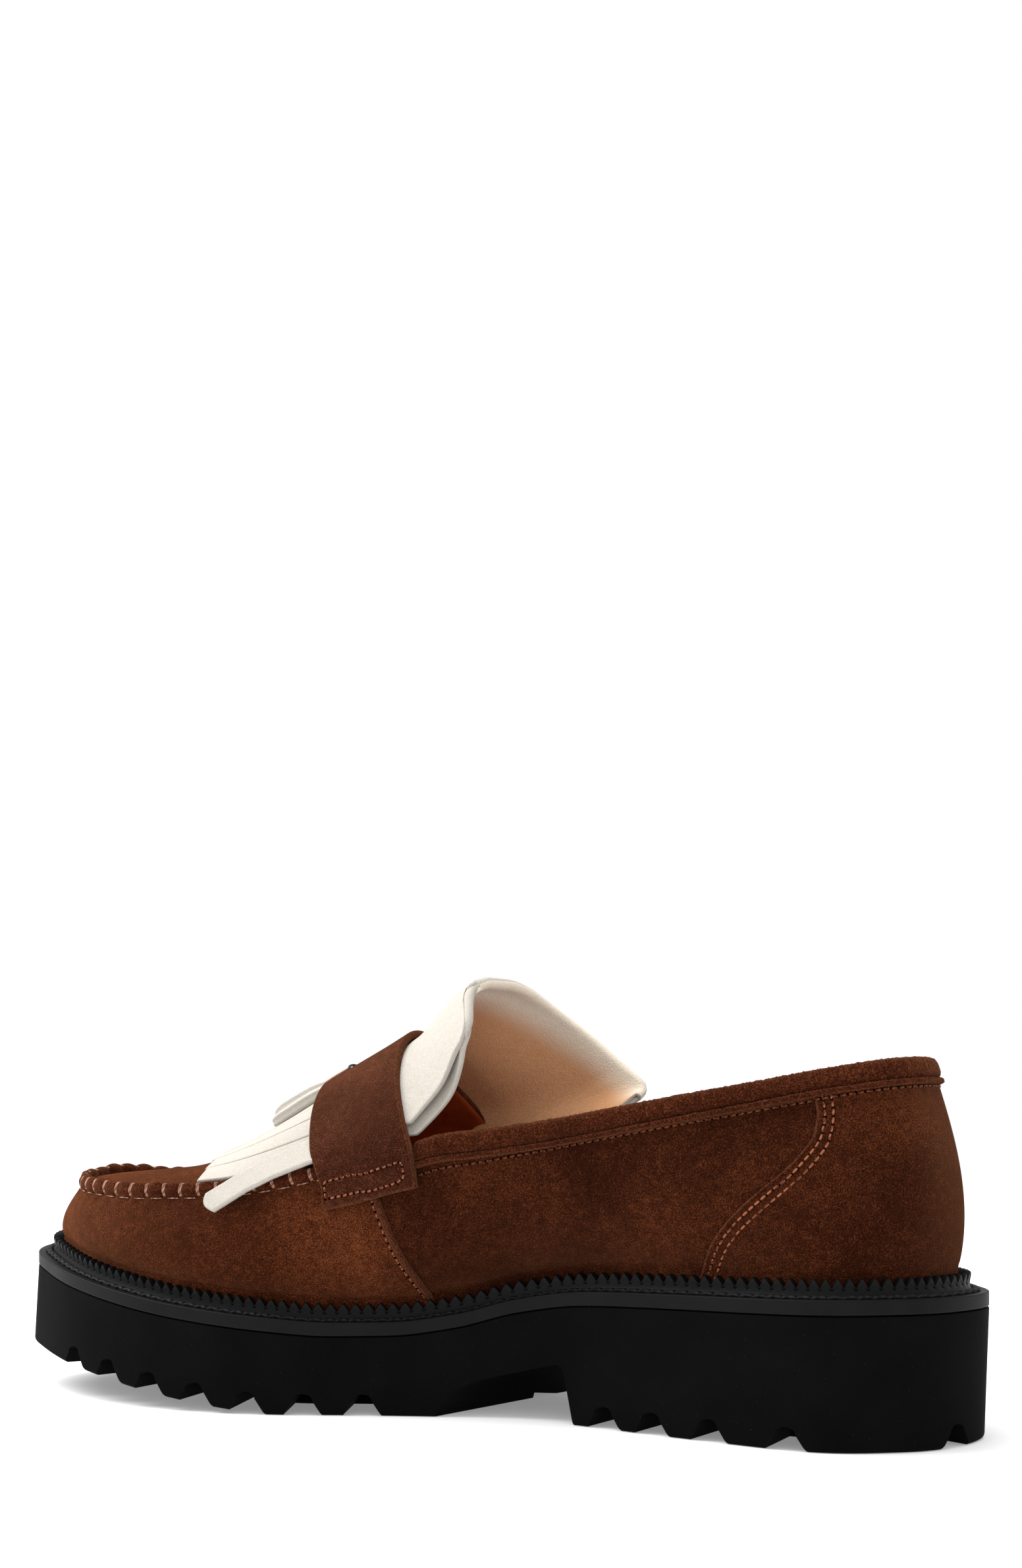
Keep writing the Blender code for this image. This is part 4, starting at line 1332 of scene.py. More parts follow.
@dataclass
class StormWelt:
    """Moulded welt standing against the upper, its top edge cut into pointed teeth."""

    last: Last
    outer: float = 5.0
    inner: float = 7.4
    height: float = 5.5
    root: float = 2.7
    pitch: float = 3.6
    per_tooth: int = 10
    flare: float = 0.35
    tip_from: float = 0.86
    tip_left: float = 0.25
    squeeze: float = 0.35
    crisp_deg: float = 55.0

    def build(self) -> None:
        """Sweep the toothed section round the feather edge."""
        dense, _ = self.last.ring(2000)
        teeth = int(lengths(np.concatenate([dense, dense[:1]]))[-1] / self.pitch)
        plan, normal = self.last.ring(teeth * self.per_tooth)
        phase = (np.arange(len(plan)) % self.per_tooth) / self.per_tooth
        point = 1.0 - np.abs(2.0 * phase - 1.0)
        over = np.maximum(point - self.tip_from, 0.0)
        point = np.minimum(point, self.tip_from) + self.tip_left * over
        tall = self.root + (self.height - self.root) * point
        foot = self.last.plate_top(plan[:, 0])
        outer, inner, lip = self.outer, self.inner, self.outer - self.flare
        base = [(inner, 0.3), (outer - 0.5, 0.05), (outer - 0.35, 0.7), (outer, 1.2), (outer, 1.9)]
        tooth = [(outer - 0.05, 0.62), (lip, 0.8), (lip, 0.93), (outer + 0.15, 1.0), (outer + 1.2, 0.99),
                 (inner - 0.2, 0.95), (inner, 0.7)]
        rings = [(inset, foot + rise) for inset, rise in base]
        rings += [(inset + (1.0 - point) * self.squeeze, foot + tall * share) for inset, share in tooth]
        solid = Solid()
        solid.loft(stacked(plan, normal, rings), Cap.JOINED)
        solid.make("storm_welt_teeth", [Finish.RUBBER], ("storm_welt",), self.crisp_deg)


@dataclass
class Footbed:
    """Leather footbed, dished at the heel, filling the feather edge."""

    last: Last
    inset: float = 11.0
    thick: float = 3.4
    dish: float = 1.2
    dish_front: float = 110.0
    dish_ease: float = 60.0
    columns: int = 240
    rings: int = 14
    crisp_deg: float = 60.0

    def build(self) -> None:
        """Loft rings from the rim to the centre line."""
        plan, normal = self.last.ring(self.columns)
        rim = plan - normal * self.inset
        middle = (rim + rim[::-1]) / 2.0
        loops = [np.column_stack([rim, self.last.plate_top(rim[:, 0]) + GAP])]
        for share in np.linspace(0.0, 0.98, self.rings):
            spot = rim + (middle - rim) * share
            hollow = self.dish * smoothstep((self.dish_front - spot[:, 0]) / self.dish_ease)
            swell_up = self.thick * rounded(share + 0.05, 0.12)
            height = self.last.plate_top(spot[:, 0]) + GAP + swell_up - hollow * smoothstep(share * 1.4)
            loops.append(np.column_stack([spot, height]))
        solid = Solid()
        solid.loft(np.array(loops), Cap.LADDER)
        solid.make("footbed", [Finish.LINING], ("insole",), self.crisp_deg)


@dataclass
class Upper:
    """Suede upper on its last: lined quarter wall, counter, vamp and apron panels with their seams."""

    last: Last
    columns: int = 190
    levels: int = 40
    panel_columns: int = 110
    edge_round: float = 0.35
    edge_drop: float = 0.25
    groove_half: float = 0.6
    counter_rows: tuple[float, float] = (2.1, 4.3)
    counter_sunk: float = 0.18
    counter_groove: float = 0.28
    counter_edge: float = 0.7
    vamp_row: float = 2.4
    vamp_sunk: float = 0.22
    vamp_groove: float = 0.35
    fold_highlight_width: float = 1.7
    fold_height: float = 0.75
    fold_middle: float = 0.9
    fold_soft: float = 0.714
    vamp_gather: tuple[float, float] = (0.4, 2.6)
    apron_gather: tuple[float, float] = (0.45, 2.8)
    apron_rear: float = 9.5
    apron_far: float = 5.0

    def build(self) -> None:
        """Make every panel and seam of the upper."""
        self.quarter()
        self.counter()
        self.vamp()
        self.apron()

    def quarter(self) -> None:
        """Lined wall from the feather edge to the topline and moccasin seam, all round the foot."""
        u = np.linspace(0.0, 2.0, self.columns)[None, :]
        v = np.linspace(0.0, 1.0, self.levels)[:, None]
        medial, lateral = (self.last.skins[side].point(u, v) for side in Side)
        grid = np.concatenate([medial, lateral[:, -2:0:-1]], axis=1)
        solid = Solid()
        solid.panel(grid, -grid_normals(grid, True), 0.0, -WALL, under=1, rim=1, close=True)
        solid.make("quarter_wall", [Finish.BROWN, Finish.LINING], ("upper",))

    def edge_lift(self, inside: Array) -> Array:
        """Lift of a panel's upper side, rounded off at its edge."""
        return OVERLAY * soft_edge(inside, self.edge_round, self.edge_drop)

    def gathers(self, run: Array, away: Array, back: Array, size: tuple[float, float]) -> Array:
        """Ripples that the moccasin seam draws into a panel.

        Args:
            run: length along the seam.
            away: distance from the seam.
            back: distance from the sole's back.
            size: height of the ripples and the distance over which they fade.

        Returns:
            Extra lift.
        """
        fade = np.exp(-away / size[1]) * smoothstep((back - GATHERS_FROM) / GATHERS_EASE)
        return size[0] * np.cos(FULL_TURN * run / MOC_PITCH) * fade

    def sew(self, name: str, line: tuple[Array, Array], skip: slice, rows: Sequence[float], drop: float,
            seam: SeamLine) -> None:
        """Sew rows of stitches beside a panel's two upright edges.

        Args:
            name: piece name.
            line: grid of the panel and its normals.
            skip: rows of the grid that are sewn.
            rows: distances of the rows from the edge.
            drop: how far the stitches lie below the panel's face.
            seam: kind of stitch.
        """
        threads = Solid()
        for column, sign in ((0, 1.0), (-1, -1.0)):
            points, out = (part[skip, column] for part in line)
            for shift in rows:
                seam.sew(threads, offset_line(points, out, shift * sign, OVERLAY - drop), out)
        threads.make(name, [Finish.SEAM_THREAD, Finish.HOLE])

    def counter(self) -> None:
        """Counter panel over the heel with two rows of stitches beside each edge."""
        v = np.linspace(0.0, 1.0, 48)
        close = 1.0 - np.array([0.0015, 0.004, 0.0075, 0.012, 0.02, 0.03, 0.045])
        share = np.unique(np.concatenate([np.linspace(0.0, 1.0, 70), close]))
        edge = {side: self.last.skins[side].edge(COUNTER_EDGE, v, 0.02, 1.0) for side in Side}
        grid = self.last.round_heel({side: edge[side][:, None] * share for side in Side}, v[:, None])
        normals = -grid_normals(grid)
        inside = row_edge(grid)
        lift = self.edge_lift(inside)
        for row in self.counter_rows:
            lift = lift - self.counter_groove * hump(inside, row, self.groove_half)
        solid = Solid()
        solid.panel(grid, normals, lift, SUNK, rim=1, marked=cell_middles(inside) < self.counter_edge)
        solid.make("counter_panel", [Finish.BROWN, Finish.CUT])
        self.sew("counter_stitches", (grid, normals), slice(4, -4), self.counter_rows, self.counter_sunk,
                 SeamLine())

    def vamp(self) -> None:
        """Vamp panel round the toe, its rear edge folded and sewn over the quarter."""
        v = np.linspace(0.0, 1.0, 52)
        close = np.array([0.001, 0.0025, 0.005, 0.0075, 0.011, 0.015, 0.02])
        share = np.unique(np.concatenate([np.linspace(0.0, 1.0, self.panel_columns), close]))
        edge = {side: self.last.skins[side].edge(VAMP_EDGE, v, 0.6, 1.8)[:, None] for side in Side}
        u = {side: edge[side] + (2.0 - edge[side]) * share for side in Side}
        grid = self.last.round_toe(u, v[:, None])
        normals = -grid_normals(grid)
        inside = row_edge(grid)
        below = column_run(grid)
        lift = self.edge_lift(inside) + self.fold_height * hump(inside, self.fold_middle, self.fold_soft)
        lift = lift - self.vamp_groove * hump(inside, self.vamp_row, self.groove_half)
        lift = lift + self.gathers(row_run(grid)[-1:], below[-1:] - below, grid[..., 0], self.vamp_gather)
        solid = Solid()
        # The raised fold along the vamp's edge takes the lighter cut-edge colour as a painted highlight.
        solid.panel(grid, normals, lift, SUNK, rim=1, marked=cell_middles(inside) < self.fold_highlight_width)
        # The vamp wears the lighter copy of the brown suede as painted light.
        solid.make("vamp_panel", [Finish.VAMP, Finish.CUT])
        self.sew("vamp_stitches", (grid, normals), slice(3, None), (self.vamp_row,), self.vamp_sunk,
                 SeamLine(pitch=2.4))

    def apron(self) -> None:
        """Apron over the instep and toes with its lining, gathered along the seam."""
        share = np.linspace(0.0, 0.985, 120)
        across = np.linspace(-1.0, 1.0, 96)[None, :]
        first = self.last.throat + self.apron_rear - self.apron_far * np.clip(-across, 0.0, 1.0)
        back = first + (self.last.apron_tip - first) * np.sin(0.5 * math.pi * share)[:, None]
        grid = self.last.saddle(back, across)
        seam_run = column_run(grid)
        beat = np.where(across > 0.0, seam_run[:, -1:], seam_run[:, :1])
        lift = OVERLAY + self.gathers(beat, row_edge(grid), back, self.apron_gather)
        solid = Solid()
        solid.panel(grid, -grid_normals(grid), lift, -WALL, under=1)
        # The apron wears the lighter copy of the brown suede as painted light.
        solid.make("apron_panel", [Finish.VAMP, Finish.LINING])


@dataclass
class MocSeam:
    """Raised hand-sewn seam between vamp and apron: a rolled ridge drawn in by thread wraps."""

    last: Last
    start: float = 188.0
    fade_lead: float = 14.0
    fade_length: float = 16.0
    spacing: float = 0.36
    tall: float = 2.65
    wide: float = 2.0
    lift: float = 1.75
    aside: float = 0.1
    drawn: float = 0.67
    thread: float = 0.28
    strand: float = 0.25
    thread_proud: float = 0.1
    wrap_deg: tuple[float, float] = (-58.0, 128.0)
    far_from: tuple[float, float] = (252.0, 9.0)
    far_ease: tuple[float, float] = (22.0, 16.0)
    far_swell: float = 0.25
    far_lift: float = 1.0
    around: int = 28

    def path(self) -> tuple[Array, Array, Array]:
        """Seam line with the ridge's up and outward directions.

        Returns:
            Points, up directions and outward directions at even spacing.
        """
        first = float(self.last.column_of(np.array(self.start)))
        station = self.last.station(np.linspace(first, 2.0, 400))
        medial, lateral = (self.last.saddle(station, side.value) for side in Side)
        line = np.concatenate([medial, lateral[-2::-1]])
        run = lengths(line)
        points = relax(sample(np.linspace(0.0, run[-1], int(run[-1] / self.spacing)), run, line), 6)
        forward = unit(np.gradient(points, axis=0))
        out = -unit(np.cross(forward, UP))
        up = -unit(np.cross(out, forward))
        return points, np.where(up[:, 2:] < 0.0, -up, up), out

    def build(self) -> None:
        """Sweep the ridge and wrap its threads."""
        points, up, out = self.path()
        run = lengths(points)
        beat = run / MOC_PITCH
        lump = beat.astype(int)
        uneven = np.random.default_rng(5).uniform(0.8, 1.15, lump[-1] + 1)
        puff = np.abs(np.sin(math.pi * beat)) ** 0.6 * uneven[lump]
        fade = smoothstep((points[:, 0] - self.start + self.fade_lead) / self.fade_length)
        far = smoothstep((points[:, 0] - self.far_from[0]) / self.far_ease[0])
        far = far * smoothstep((self.far_from[1] - points[:, 1]) / self.far_ease[1])
        size = (0.35 + 0.65 * fade) * (1.0 + self.far_swell * far)
        scale = ((self.drawn + (1.0 - self.drawn) * puff) * size)[:, None, None]
        centre = points + up * (self.lift * fade + self.far_lift * far)[:, None] + out * self.aside
        turn = circle(self.around)
        reach = self.crease(turn)
        ring = (np.cos(turn) * reach * self.wide)[:, None] * out[:, None]
        ring = ring + (np.sin(turn) * reach * self.tall)[:, None] * up[:, None]
        solid = Solid()
        solid.loft(centre[:, None] + ring * scale)
        solid.make("moccasin_ridge", [Finish.NAP])
        self.wraps(run, centre, up, out, size)

    def crease(self, turn: Array) -> Array:
        """Share of the section's radius, drawn in where the apron's roll meets the vamp's roll."""
        return 1.0 - 0.2 * hump(turn, 0.55, 0.24)

    def wraps(self, run: Array, centre: Array, up: Array, out: Array, size: Array) -> None:
        """Threads over the ridge, one pair at each draw-in, and a short run below between pairs.

        Args:
            run: length along the seam.
            centre: middle of the ridge.
            up: its up directions.
            out: its outward directions.
            size: share of its full size that the ridge has along the seam.
        """
        beats = np.arange(int(run[-1] / MOC_PITCH) + 1) * MOC_PITCH
        steps = np.linspace(*np.radians(self.wrap_deg), 13)
        uneven = np.random.default_rng(9)
        slant = np.linspace(-0.5, 0.5, len(steps)) * uneven.uniform(0.2, 1.4, (len(beats), 1))
        solid = Solid()
        for strand in (-self.strand, self.strand):
            at = beats[:, None] + slant + strand * uneven.uniform(0.8, 1.3, (len(beats), 1))
            middle, rise, reach = (sample(at, run, line) for line in (centre, up, out))
            scale = np.interp(at, run, size)[..., None] * (self.drawn + 0.05)
            radial = np.cos(steps)[None, :, None] * reach * self.wide
            radial = radial + np.sin(steps)[None, :, None] * rise * self.tall
            snug = (0.5 + 0.5 * self.crease(steps))[None, :, None]
            place = middle + radial * scale * snug + unit(radial) * self.thread_proud
            forward = unit(np.gradient(place, axis=1))
            side = unit(np.cross(forward, unit(radial)))
            solid.tubes(place, side, np.cross(side, forward), self.thread, around=7)
        at = beats[:-1, None] + np.linspace(0.12, 0.72, 7) * MOC_PITCH
        middle, rise, reach = (sample(at, run, line) for line in (centre, up, out))
        below = reach * 0.66 * self.wide - rise * 0.86 * self.tall
        place = middle + below * np.interp(at, run, size)[..., None]
        forward = unit(np.gradient(place, axis=1))
        side = unit(np.cross(forward, rise))
        thin = self.thread * 0.7 * np.sin(math.pi * np.linspace(0.12, 0.88, at.shape[1])) ** 0.4
        solid.tubes(place, side, np.cross(side, forward), thin, around=7)
        solid.make("moccasin_thread", [Finish.MOC_THREAD])


@dataclass
class CollarBinding:
    """Napped strip bound over the topline: rolled top, thin bead along its lower edge, stitches below."""

    last: Last
    outer: float = 4.4
    inner: float = 8.0
    thick: float = 1.2
    face: float = OVERLAY + 0.1
    bead: float = 0.75
    bead_proud: float = 0.75
    bead_gap: float = 0.25
    rough: float = 0.09
    columns: int = 420
    reach: float = 1.015
    stitch_drop: float = 6.5
    stitch_proud: float = 0.02
    least_height: float = 30.0
    rise_from: float = 0.88
    collar_middle: tuple[float, float, float] = (80.0, 0.0, 0.0)

    def section(self) -> Array:
        """Outline of the binding.

        Returns:
            Pairs of distance outward and height above the topline.
        """
        face, low, deep = self.face, -self.outer, -self.inner
        out, back = face + self.thick, -WALL - GAP - self.thick
        middle = low - self.bead_gap - self.bead
        points = [(face - 0.5, middle - self.bead - 0.1)]
        for angle in np.radians(np.linspace(-100.0, 100.0, 9)):
            points.append((face + self.bead_proud + self.bead * math.cos(angle),
                           middle + self.bead * math.sin(angle)))
        points += [(face + 0.15, low - 0.1), (face + 0.5, low + 0.1), (out - 0.25, low + 0.55),
                   (out, low + 1.3), (out + 0.1, low / 2.0), (out, -0.6), (out - 0.4, 0.6),
                   (face - 0.2, 1.35), (-0.6, 1.6), (-1.8, 1.35), (back + 0.4, 0.6), (back, -0.6),
                   (back, deep), (back + 0.5, deep - 0.3), (-WALL, deep)]
        return np.array(points)

    def build(self) -> None:
        """Sweep the section round the collar and sew it down."""
        share = np.linspace(0.0, self.reach, self.columns)
        lines: list[list[Array]] = [[], [], []]
        for side, order in ((Side.LATERAL, slice(None, 0, -1)), (Side.MEDIAL, slice(None))):
            skin = self.last.skins[side]
            head = skin.point(share, np.ones(1))
            sewn = 1.0 - self.stitch_drop / np.maximum(head[:, 2] - skin.base[0, 2], self.least_height)
            parts = (head, skin.point(share, np.full(1, self.rise_from)), skin.point(share, sewn))
            for line, part in zip(lines, parts):
                line.append(part[order])
        head, below, sewn = (np.concatenate(line) for line in lines)
        rise = unit(head - below)
        normal = unit(np.cross(unit(np.gradient(head, axis=0)), rise))
        flip = np.sum(normal * (head - np.array(self.collar_middle)) * (1.0 - UP), axis=1) < 0.0
        normal = np.where(flip[:, None], -normal, normal)
        section = self.section()
        rows = head[:, None] + normal[:, None] * section[None, :, :1] + rise[:, None] * section[None, :, 1:]
        solid = Solid()
        solid.loft(rows + np.random.default_rng(3).normal(0.0, self.rough, rows.shape))
        solid.make("collar_binding_strip", [Finish.NAP], ("collar_binding",))
        height = np.where(sewn[:, 0] < COUNTER_EDGE.at("back", sewn[:, 2]), OVERLAY, 0.0)
        threads = Solid()
        line = sewn + normal * (height + self.stitch_proud)[:, None]
        SeamLine(pitch=2.3, hole=0.4).sew(threads, line, normal)
        threads.make("collar_stitches", [Finish.COLLAR_THREAD, Finish.HOLE])


@dataclass
class SaddleStrap:
    """Suede strap over the kiltie, tapered to its ends, which are box-stitched to the side walls.

    A box of stitches is given by corners as a share of the strap's width and a distance from its end.
    """

    last: Last
    reach: float = 1.24
    thick: float = 2.2
    over_kiltie: float = 2.6
    down_from: float = 1.1
    down_width: float = 0.2
    edge_round: float = 0.4
    edge_drop: float = 0.2
    raw: float = 0.55
    rows: int = 44
    columns: int = 150
    corners: tuple[tuple[float, float], ...] = (
        (0.95, 2.7), (0.95, 8.0), (0.1, 8.0), (0.1, 3.9), (0.19, 2.7), (0.95, 2.7))

    def grid(self) -> tuple[Array, Array, Array]:
        """Strap surface.

        Returns:
            Grid of skin points, lift of its lower face and normals.
        """
        share = edged(self.rows, (0.004, 0.01, 0.018, 0.028))[:, None]
        across = (2.0 * edged(self.columns, (0.0012, 0.003, 0.006, 0.01)) - 1.0)[None, :] * self.reach
        rear, front = (STRAP_EDGE.at(name, np.abs(across)) for name in ("rear", "front"))
        back = rear + (front - rear) * share
        points = self.last.instep(back, across)
        blend = smoothstep((self.down_from - np.abs(across)) / self.down_width)
        lift = np.broadcast_to(OVERLAY + GAP + self.over_kiltie * blend, back.shape)
        return points, lift, -grid_normals(points, passes=10)

    def build(self) -> None:
        """Make the strap and the boxes of stitches at its ends."""
        points, lift, normals = self.grid()
        inside = any_edge(points)
        top = lift + self.thick * soft_edge(inside, self.edge_round, self.edge_drop)
        solid = Solid()
        solid.panel(points, normals, top, lift, under=1, rim=1, marked=cell_middles(inside) < self.raw)
        solid.make("strap", [Finish.STRAP, Finish.CUT], ("saddle_strap",))
        threads = Solid()
        surface = points + normals * (lift + self.thick)[..., None]
        self.box(threads, surface, normals)
        self.box(threads, surface[:, ::-1], normals[:, ::-1])
        threads.make("strap_stitches", [Finish.SEAM_THREAD, Finish.HOLE])

    def box(self, threads: Solid, face: Array, out: Array) -> None:
        """Sew one closed box near the strap end at the grid's last column.

        Args:
            threads: mesh to add to.
            face: strap surface, end at the last column.
            out: its normals.
        """
        from_end = row_run(face)[:, -1:] - row_run(face)
        width = column_run(face)[:, -1]
        line, normal = [], []
        for (s0, d0), (s1, d1) in zip(self.corners, self.corners[1:]):
            for t in np.linspace(0.0, 1.0, 20, endpoint=False):
                row = int(np.argmin(np.abs(width - (s0 + (s1 - s0) * t) * width[-1])))
                column = int(np.argmin(np.abs(from_end[row] - (d0 + (d1 - d0) * t))))
                line.append(face[row, column])
                normal.append(out[row, column])
        path, normals = np.array(line), np.array(normal)
        keep = np.concatenate([[True], np.linalg.norm(np.diff(path, axis=0), axis=1) > 1e-6])
        SeamLine(pitch=1.9, length=1.4, hole=0.46).sew(threads, relax(path[keep], 2), normals[keep])


@dataclass
class Kiltie:
    """Cream suede kiltie: loose fringe strips on the apron and a tongue folded over behind the strap."""

    last: Last
    strips: int = 11
    half: float = 0.905
    front: float = 230.6
    front_drop: float = 4.5
    uneven: tuple[float, ...] = (0.0, 0.7, -0.5, 0.4, -0.2, 0.5, 0.1, -0.6, 0.4, -0.3, 0.0)
    hidden: float = 186.0
    thick: float = 1.35
    strip_round: float = 0.45
    strip_drop: float = 0.45
    wave_height: float = 0.25
    wave_turn: float = 2.4
    wave_from: float = 212.0
    wave_ease: float = 18.0
    strip_gap: float = 0.05
    slit: float = 0.0012
    splayed_tip: tuple[float, float, float] = (1.8, -0.3, -0.7)
    tongue_rows: int = 48
    tongue_top: float = 147.4
    tongue_root: float = 175.5
    roll_end: float = 146.0
    arch_round: float = 2.9
    arch_less: float = 4.0
    edge_reach: float = 0.97
    tuck: tuple[float, float, float] = (3.0, 7.0, -14.0)
    collar_depths: tuple[float, float] = (5.0, 7.2)
    collar_clear: float = 3.0
    collar_fade: float = 8.5
    collar_front: float = 174.0
    collar_ease: float = 12.0
    sheet: float = 1.05
    sheet_round: float = 0.5
    sheet_drop: float = 0.2
    room_share: float = 0.97
    rise_lead: float = 2.0
    rise_length: float = 18.0
    layer_ahead: tuple[float, float] = (2.55, 1.85)
    layer_behind: tuple[float, float] = (1.7, 1.05)
    slit_span: tuple[float, float] = (154.4, 167.0)
    slit_open: float = 3.0
    slit_trim: float = 3.8
    root_slide: float = 4.6
    roll_radius: float = 1.7
    rim_below: float = 155.4
    cream_border: float = 1.4

    def build(self) -> None:
        """Make the fringe and the tongue."""
        self.fringe()
        self.tongue()

    def strip(self, solid: Solid, points: Array, lift: Array | float, sign: float = -1.0) -> None:
        """Add one strip with softly cut edges.

        Args:
            solid: mesh to add to.
            points: strip on the skin, root first.
            lift: height of its lower face.
            sign: -1 where the grid's columns run to the medial side, 1 where they run to the lateral side.
        """
        length = column_run(points)
        inside = np.minimum(row_edge(points), length[-1:] - length)
        top = lift + self.thick * soft_edge(inside, self.strip_round, self.strip_drop)
        solid.panel(points, grid_normals(points, passes=3) * sign, top, lift)

    def fringe(self) -> None:
        """Strips cut side by side, and one splayed over the moccasin seam on each side."""
        solid = Solid()
        run = edged(46, (0.004, 0.01, 0.018))
        cross = edged(9, (0.02, 0.05, 0.1, 0.17))
        for strip in range(self.strips):
            low = self.half * (-1.0 + 2.0 * strip / self.strips) + self.slit
            high = self.half * (-1.0 + 2.0 * (strip + 1) / self.strips) - self.slit
            across = (low + (high - low) * cross)[None, :]
            front = self.front + self.uneven[strip] - self.front_drop * (0.5 * (low + high) / self.half) ** 2
            back = self.hidden + (front - self.hidden) * run[:, None]
            wave = self.wave_height * np.sin(strip * self.wave_turn)
            wave = wave * smoothstep((back - self.wave_from) / self.wave_ease)
            self.strip(solid, self.last.instep(back, across), OVERLAY + self.strip_gap + np.abs(wave))
        for side in (Side.LATERAL, Side.MEDIAL):
            sign = side.value
            edges = (np.array(edge) * (1.0, -sign, 1.0) for edge in (STRIP_INNER, STRIP_OUTER))
            inner, outer = (along(edge, run)[:, None] for edge in edges)
            points = inner + (outer - inner) * cross[None, :, None]
            if sign > 0.0:
                points[..., 1] -= RIBS.at("lateral", points[..., 0]) - RIBS.at("medial", points[..., 0])
            tip = np.sin(math.pi * cross)[None, :] * smoothstep((run - 0.85) / 0.15)[:, None]
            points = points + tip[..., None] * (np.array(self.splayed_tip) * (1.0, sign, 1.0))
            self.strip(solid, points, -self.thick, sign)
        solid.make("kiltie_fringe", [Finish.CREAM], ("kiltie",))

    def inner_reach(self, roll: Array) -> Array:
        """Reach of the tongue's inner edge, rounded off into the fold."""
        return self.edge_reach - 0.55 * roll - 0.32 * smoothstep((roll - 0.6) / 0.4) ** 1.5

    def tongue_skin(self, back: Array, spot: Array) -> Array:
        """Surface the tongue follows: the instep at its root, a full round arch at its fold.

        Args:
            back: rows from root to fold.
            spot: 1 at the inner edge, -1 at the outer edge, less where the outer edge tucks into the collar.

        Returns:
            Grid of points.
        """
        roll = np.clip((self.last.throat - back) / (self.last.throat - self.roll_end), 0.0, 1.0)[:, None]
        inner = self.last.saddle(back[:, None], np.maximum(spot, 0.0)[None, :] * self.inner_reach(roll))
        out = np.clip(-spot, 0.0, 1.0)[None, :]
        turn = 0.5 * math.pi * out ** (self.arch_round / 2.0)
        power = 2.0 / self.arch_round
        full, plain = smoothstep(roll), self.edge_reach * out
        across = plain + (np.sin(turn) ** power - plain) * full
        fall = plain ** self.last.arch_power
        fall = fall + (1.0 - np.cos(turn) ** power - fall) * full
        names = ("depth", "tilt", "lateral", "crown")
        depth, tilt, wide, crown = (RIBS.at(name, back)[:, None] for name in names)
        drop, tilt = (depth - self.arch_less * roll) * fall, np.radians(tilt)
        outer = np.stack([back[:, None] - drop * np.sin(tilt), -across * wide,
                          crown - drop * np.cos(tilt)], axis=-1)
        tuck = np.maximum(-spot - 1.0, 0.0)[None, :] * (0.03 + 0.97 * smoothstep((1.0 - roll) / 0.4))
        outer = outer + tuck[..., None] * np.array(self.tuck)
        return np.where((spot < 0.0)[None, :, None], outer, inner)

    def inside_collar(self, points: Array, depth: float) -> Array:
        """Bring the tongue's far edge inside the collar wherever it hangs as low as the binding.

        Args:
            points: one layer of the tongue.
            depth: how far inside the wall it has to stay.

        Returns:
            The layer, eased inward.
        """
        wall = self.last.skins[Side.LATERAL].point(np.linspace(0.4, 1.0, 300), np.ones(1)).reshape(-1, 3)
        wall = wall[np.argsort(wall[:, 0])]
        x, y, z = np.moveaxis(points, -1, 0)
        above = z - np.interp(x, wall[:, 0], wall[:, 2]) - self.collar_clear
        low = 1.0 - smoothstep(above / self.collar_fade)
        limit = np.interp(x, wall[:, 0], wall[:, 1]) + depth
        shift = np.maximum(limit - y, 0.0) * low * smoothstep((self.collar_front - x) / self.collar_ease)
        for _ in range(8):
            shift = relax(relax(shift, 1).T, 1).T
        return np.stack([x, y + shift, z], axis=-1)

    def rolled_edge(self, solid: Solid, line: Array) -> None:
        """Soft roll where the two layers meet above the slit and round the fold's inner corner.

        Args:
            solid: mesh to add to.
            line: middle of the edge, slit first.
        """
        run = lengths(line)
        place = relax(sample(np.linspace(0.0, run[-1], 60), run, line), 14)
        forward = unit(np.gradient(place, axis=0))
        side = unit(np.cross(forward, (1.0, 0.0, 0.0)))
        share = np.linspace(0.0, 1.0, len(place))
        start, end = 0.25 + 0.75 * smoothstep(share / 0.3), 0.12 + 0.88 * smoothstep((1.0 - share) / 0.42)
        radius = self.roll_radius * start * end
        solid.tubes(place[None], side[None], np.cross(side, forward)[None], radius, around=16)

    def layers(self, back: Array, spot: Array) -> tuple[Array, Array, Array, Array]:
        """Front and rear layer of the tongue, parted at the slit.

        Args:
            back: rows from root to fold.
            spot: columns as in tongue_skin.

        Returns:
            Front layer, rear layer, normals and the share of the rise from root to fold.
        """
        skin = self.tongue_skin(back, spot)
        normals = grid_normals(skin, passes=4)
        stretch = smoothstep((self.last.throat - back) / (self.last.throat - self.tongue_top))[:, None]
        raised = unit(np.cross(normals, unit(np.gradient(skin, axis=1))))
        skin = skin + raised * (CREST.at("rise", spot)[None, :] * stretch)[..., None]
        rise = smoothstep((self.last.throat + self.rise_lead - back) / self.rise_length)[:, None]
        top, root = self.slit_span
        down = np.clip((back - top) / (root - top), 0.0, 1.0)[:, None]
        near = smoothstep((spot - 0.5) / 0.5)[None, :] * self.slit_open
        inner = smoothstep((spot - 0.3) / 0.7)[None, :]
        bow = 0.26 * down ** 0.4 * (1.0 - down) * near
        part = 3.0 * down * (1.0 - down) * near
        ahead = skin + normals * (self.layer_ahead[0] + self.layer_ahead[1] * rise + bow)[..., None]
        behind = skin + normals * (self.layer_behind[0] + self.layer_behind[1] * rise - part)[..., None]
        trim = self.slit_trim * np.sqrt(down) * (1.0 - 0.25 * down) * inner
        ahead = ahead - unit(np.gradient(ahead, axis=1)) * trim[..., None]
        slide = self.root_slide * smoothstep((down - 0.35) / 0.55) * inner
        ahead[..., 0] += slide
        behind[..., 0] += slide
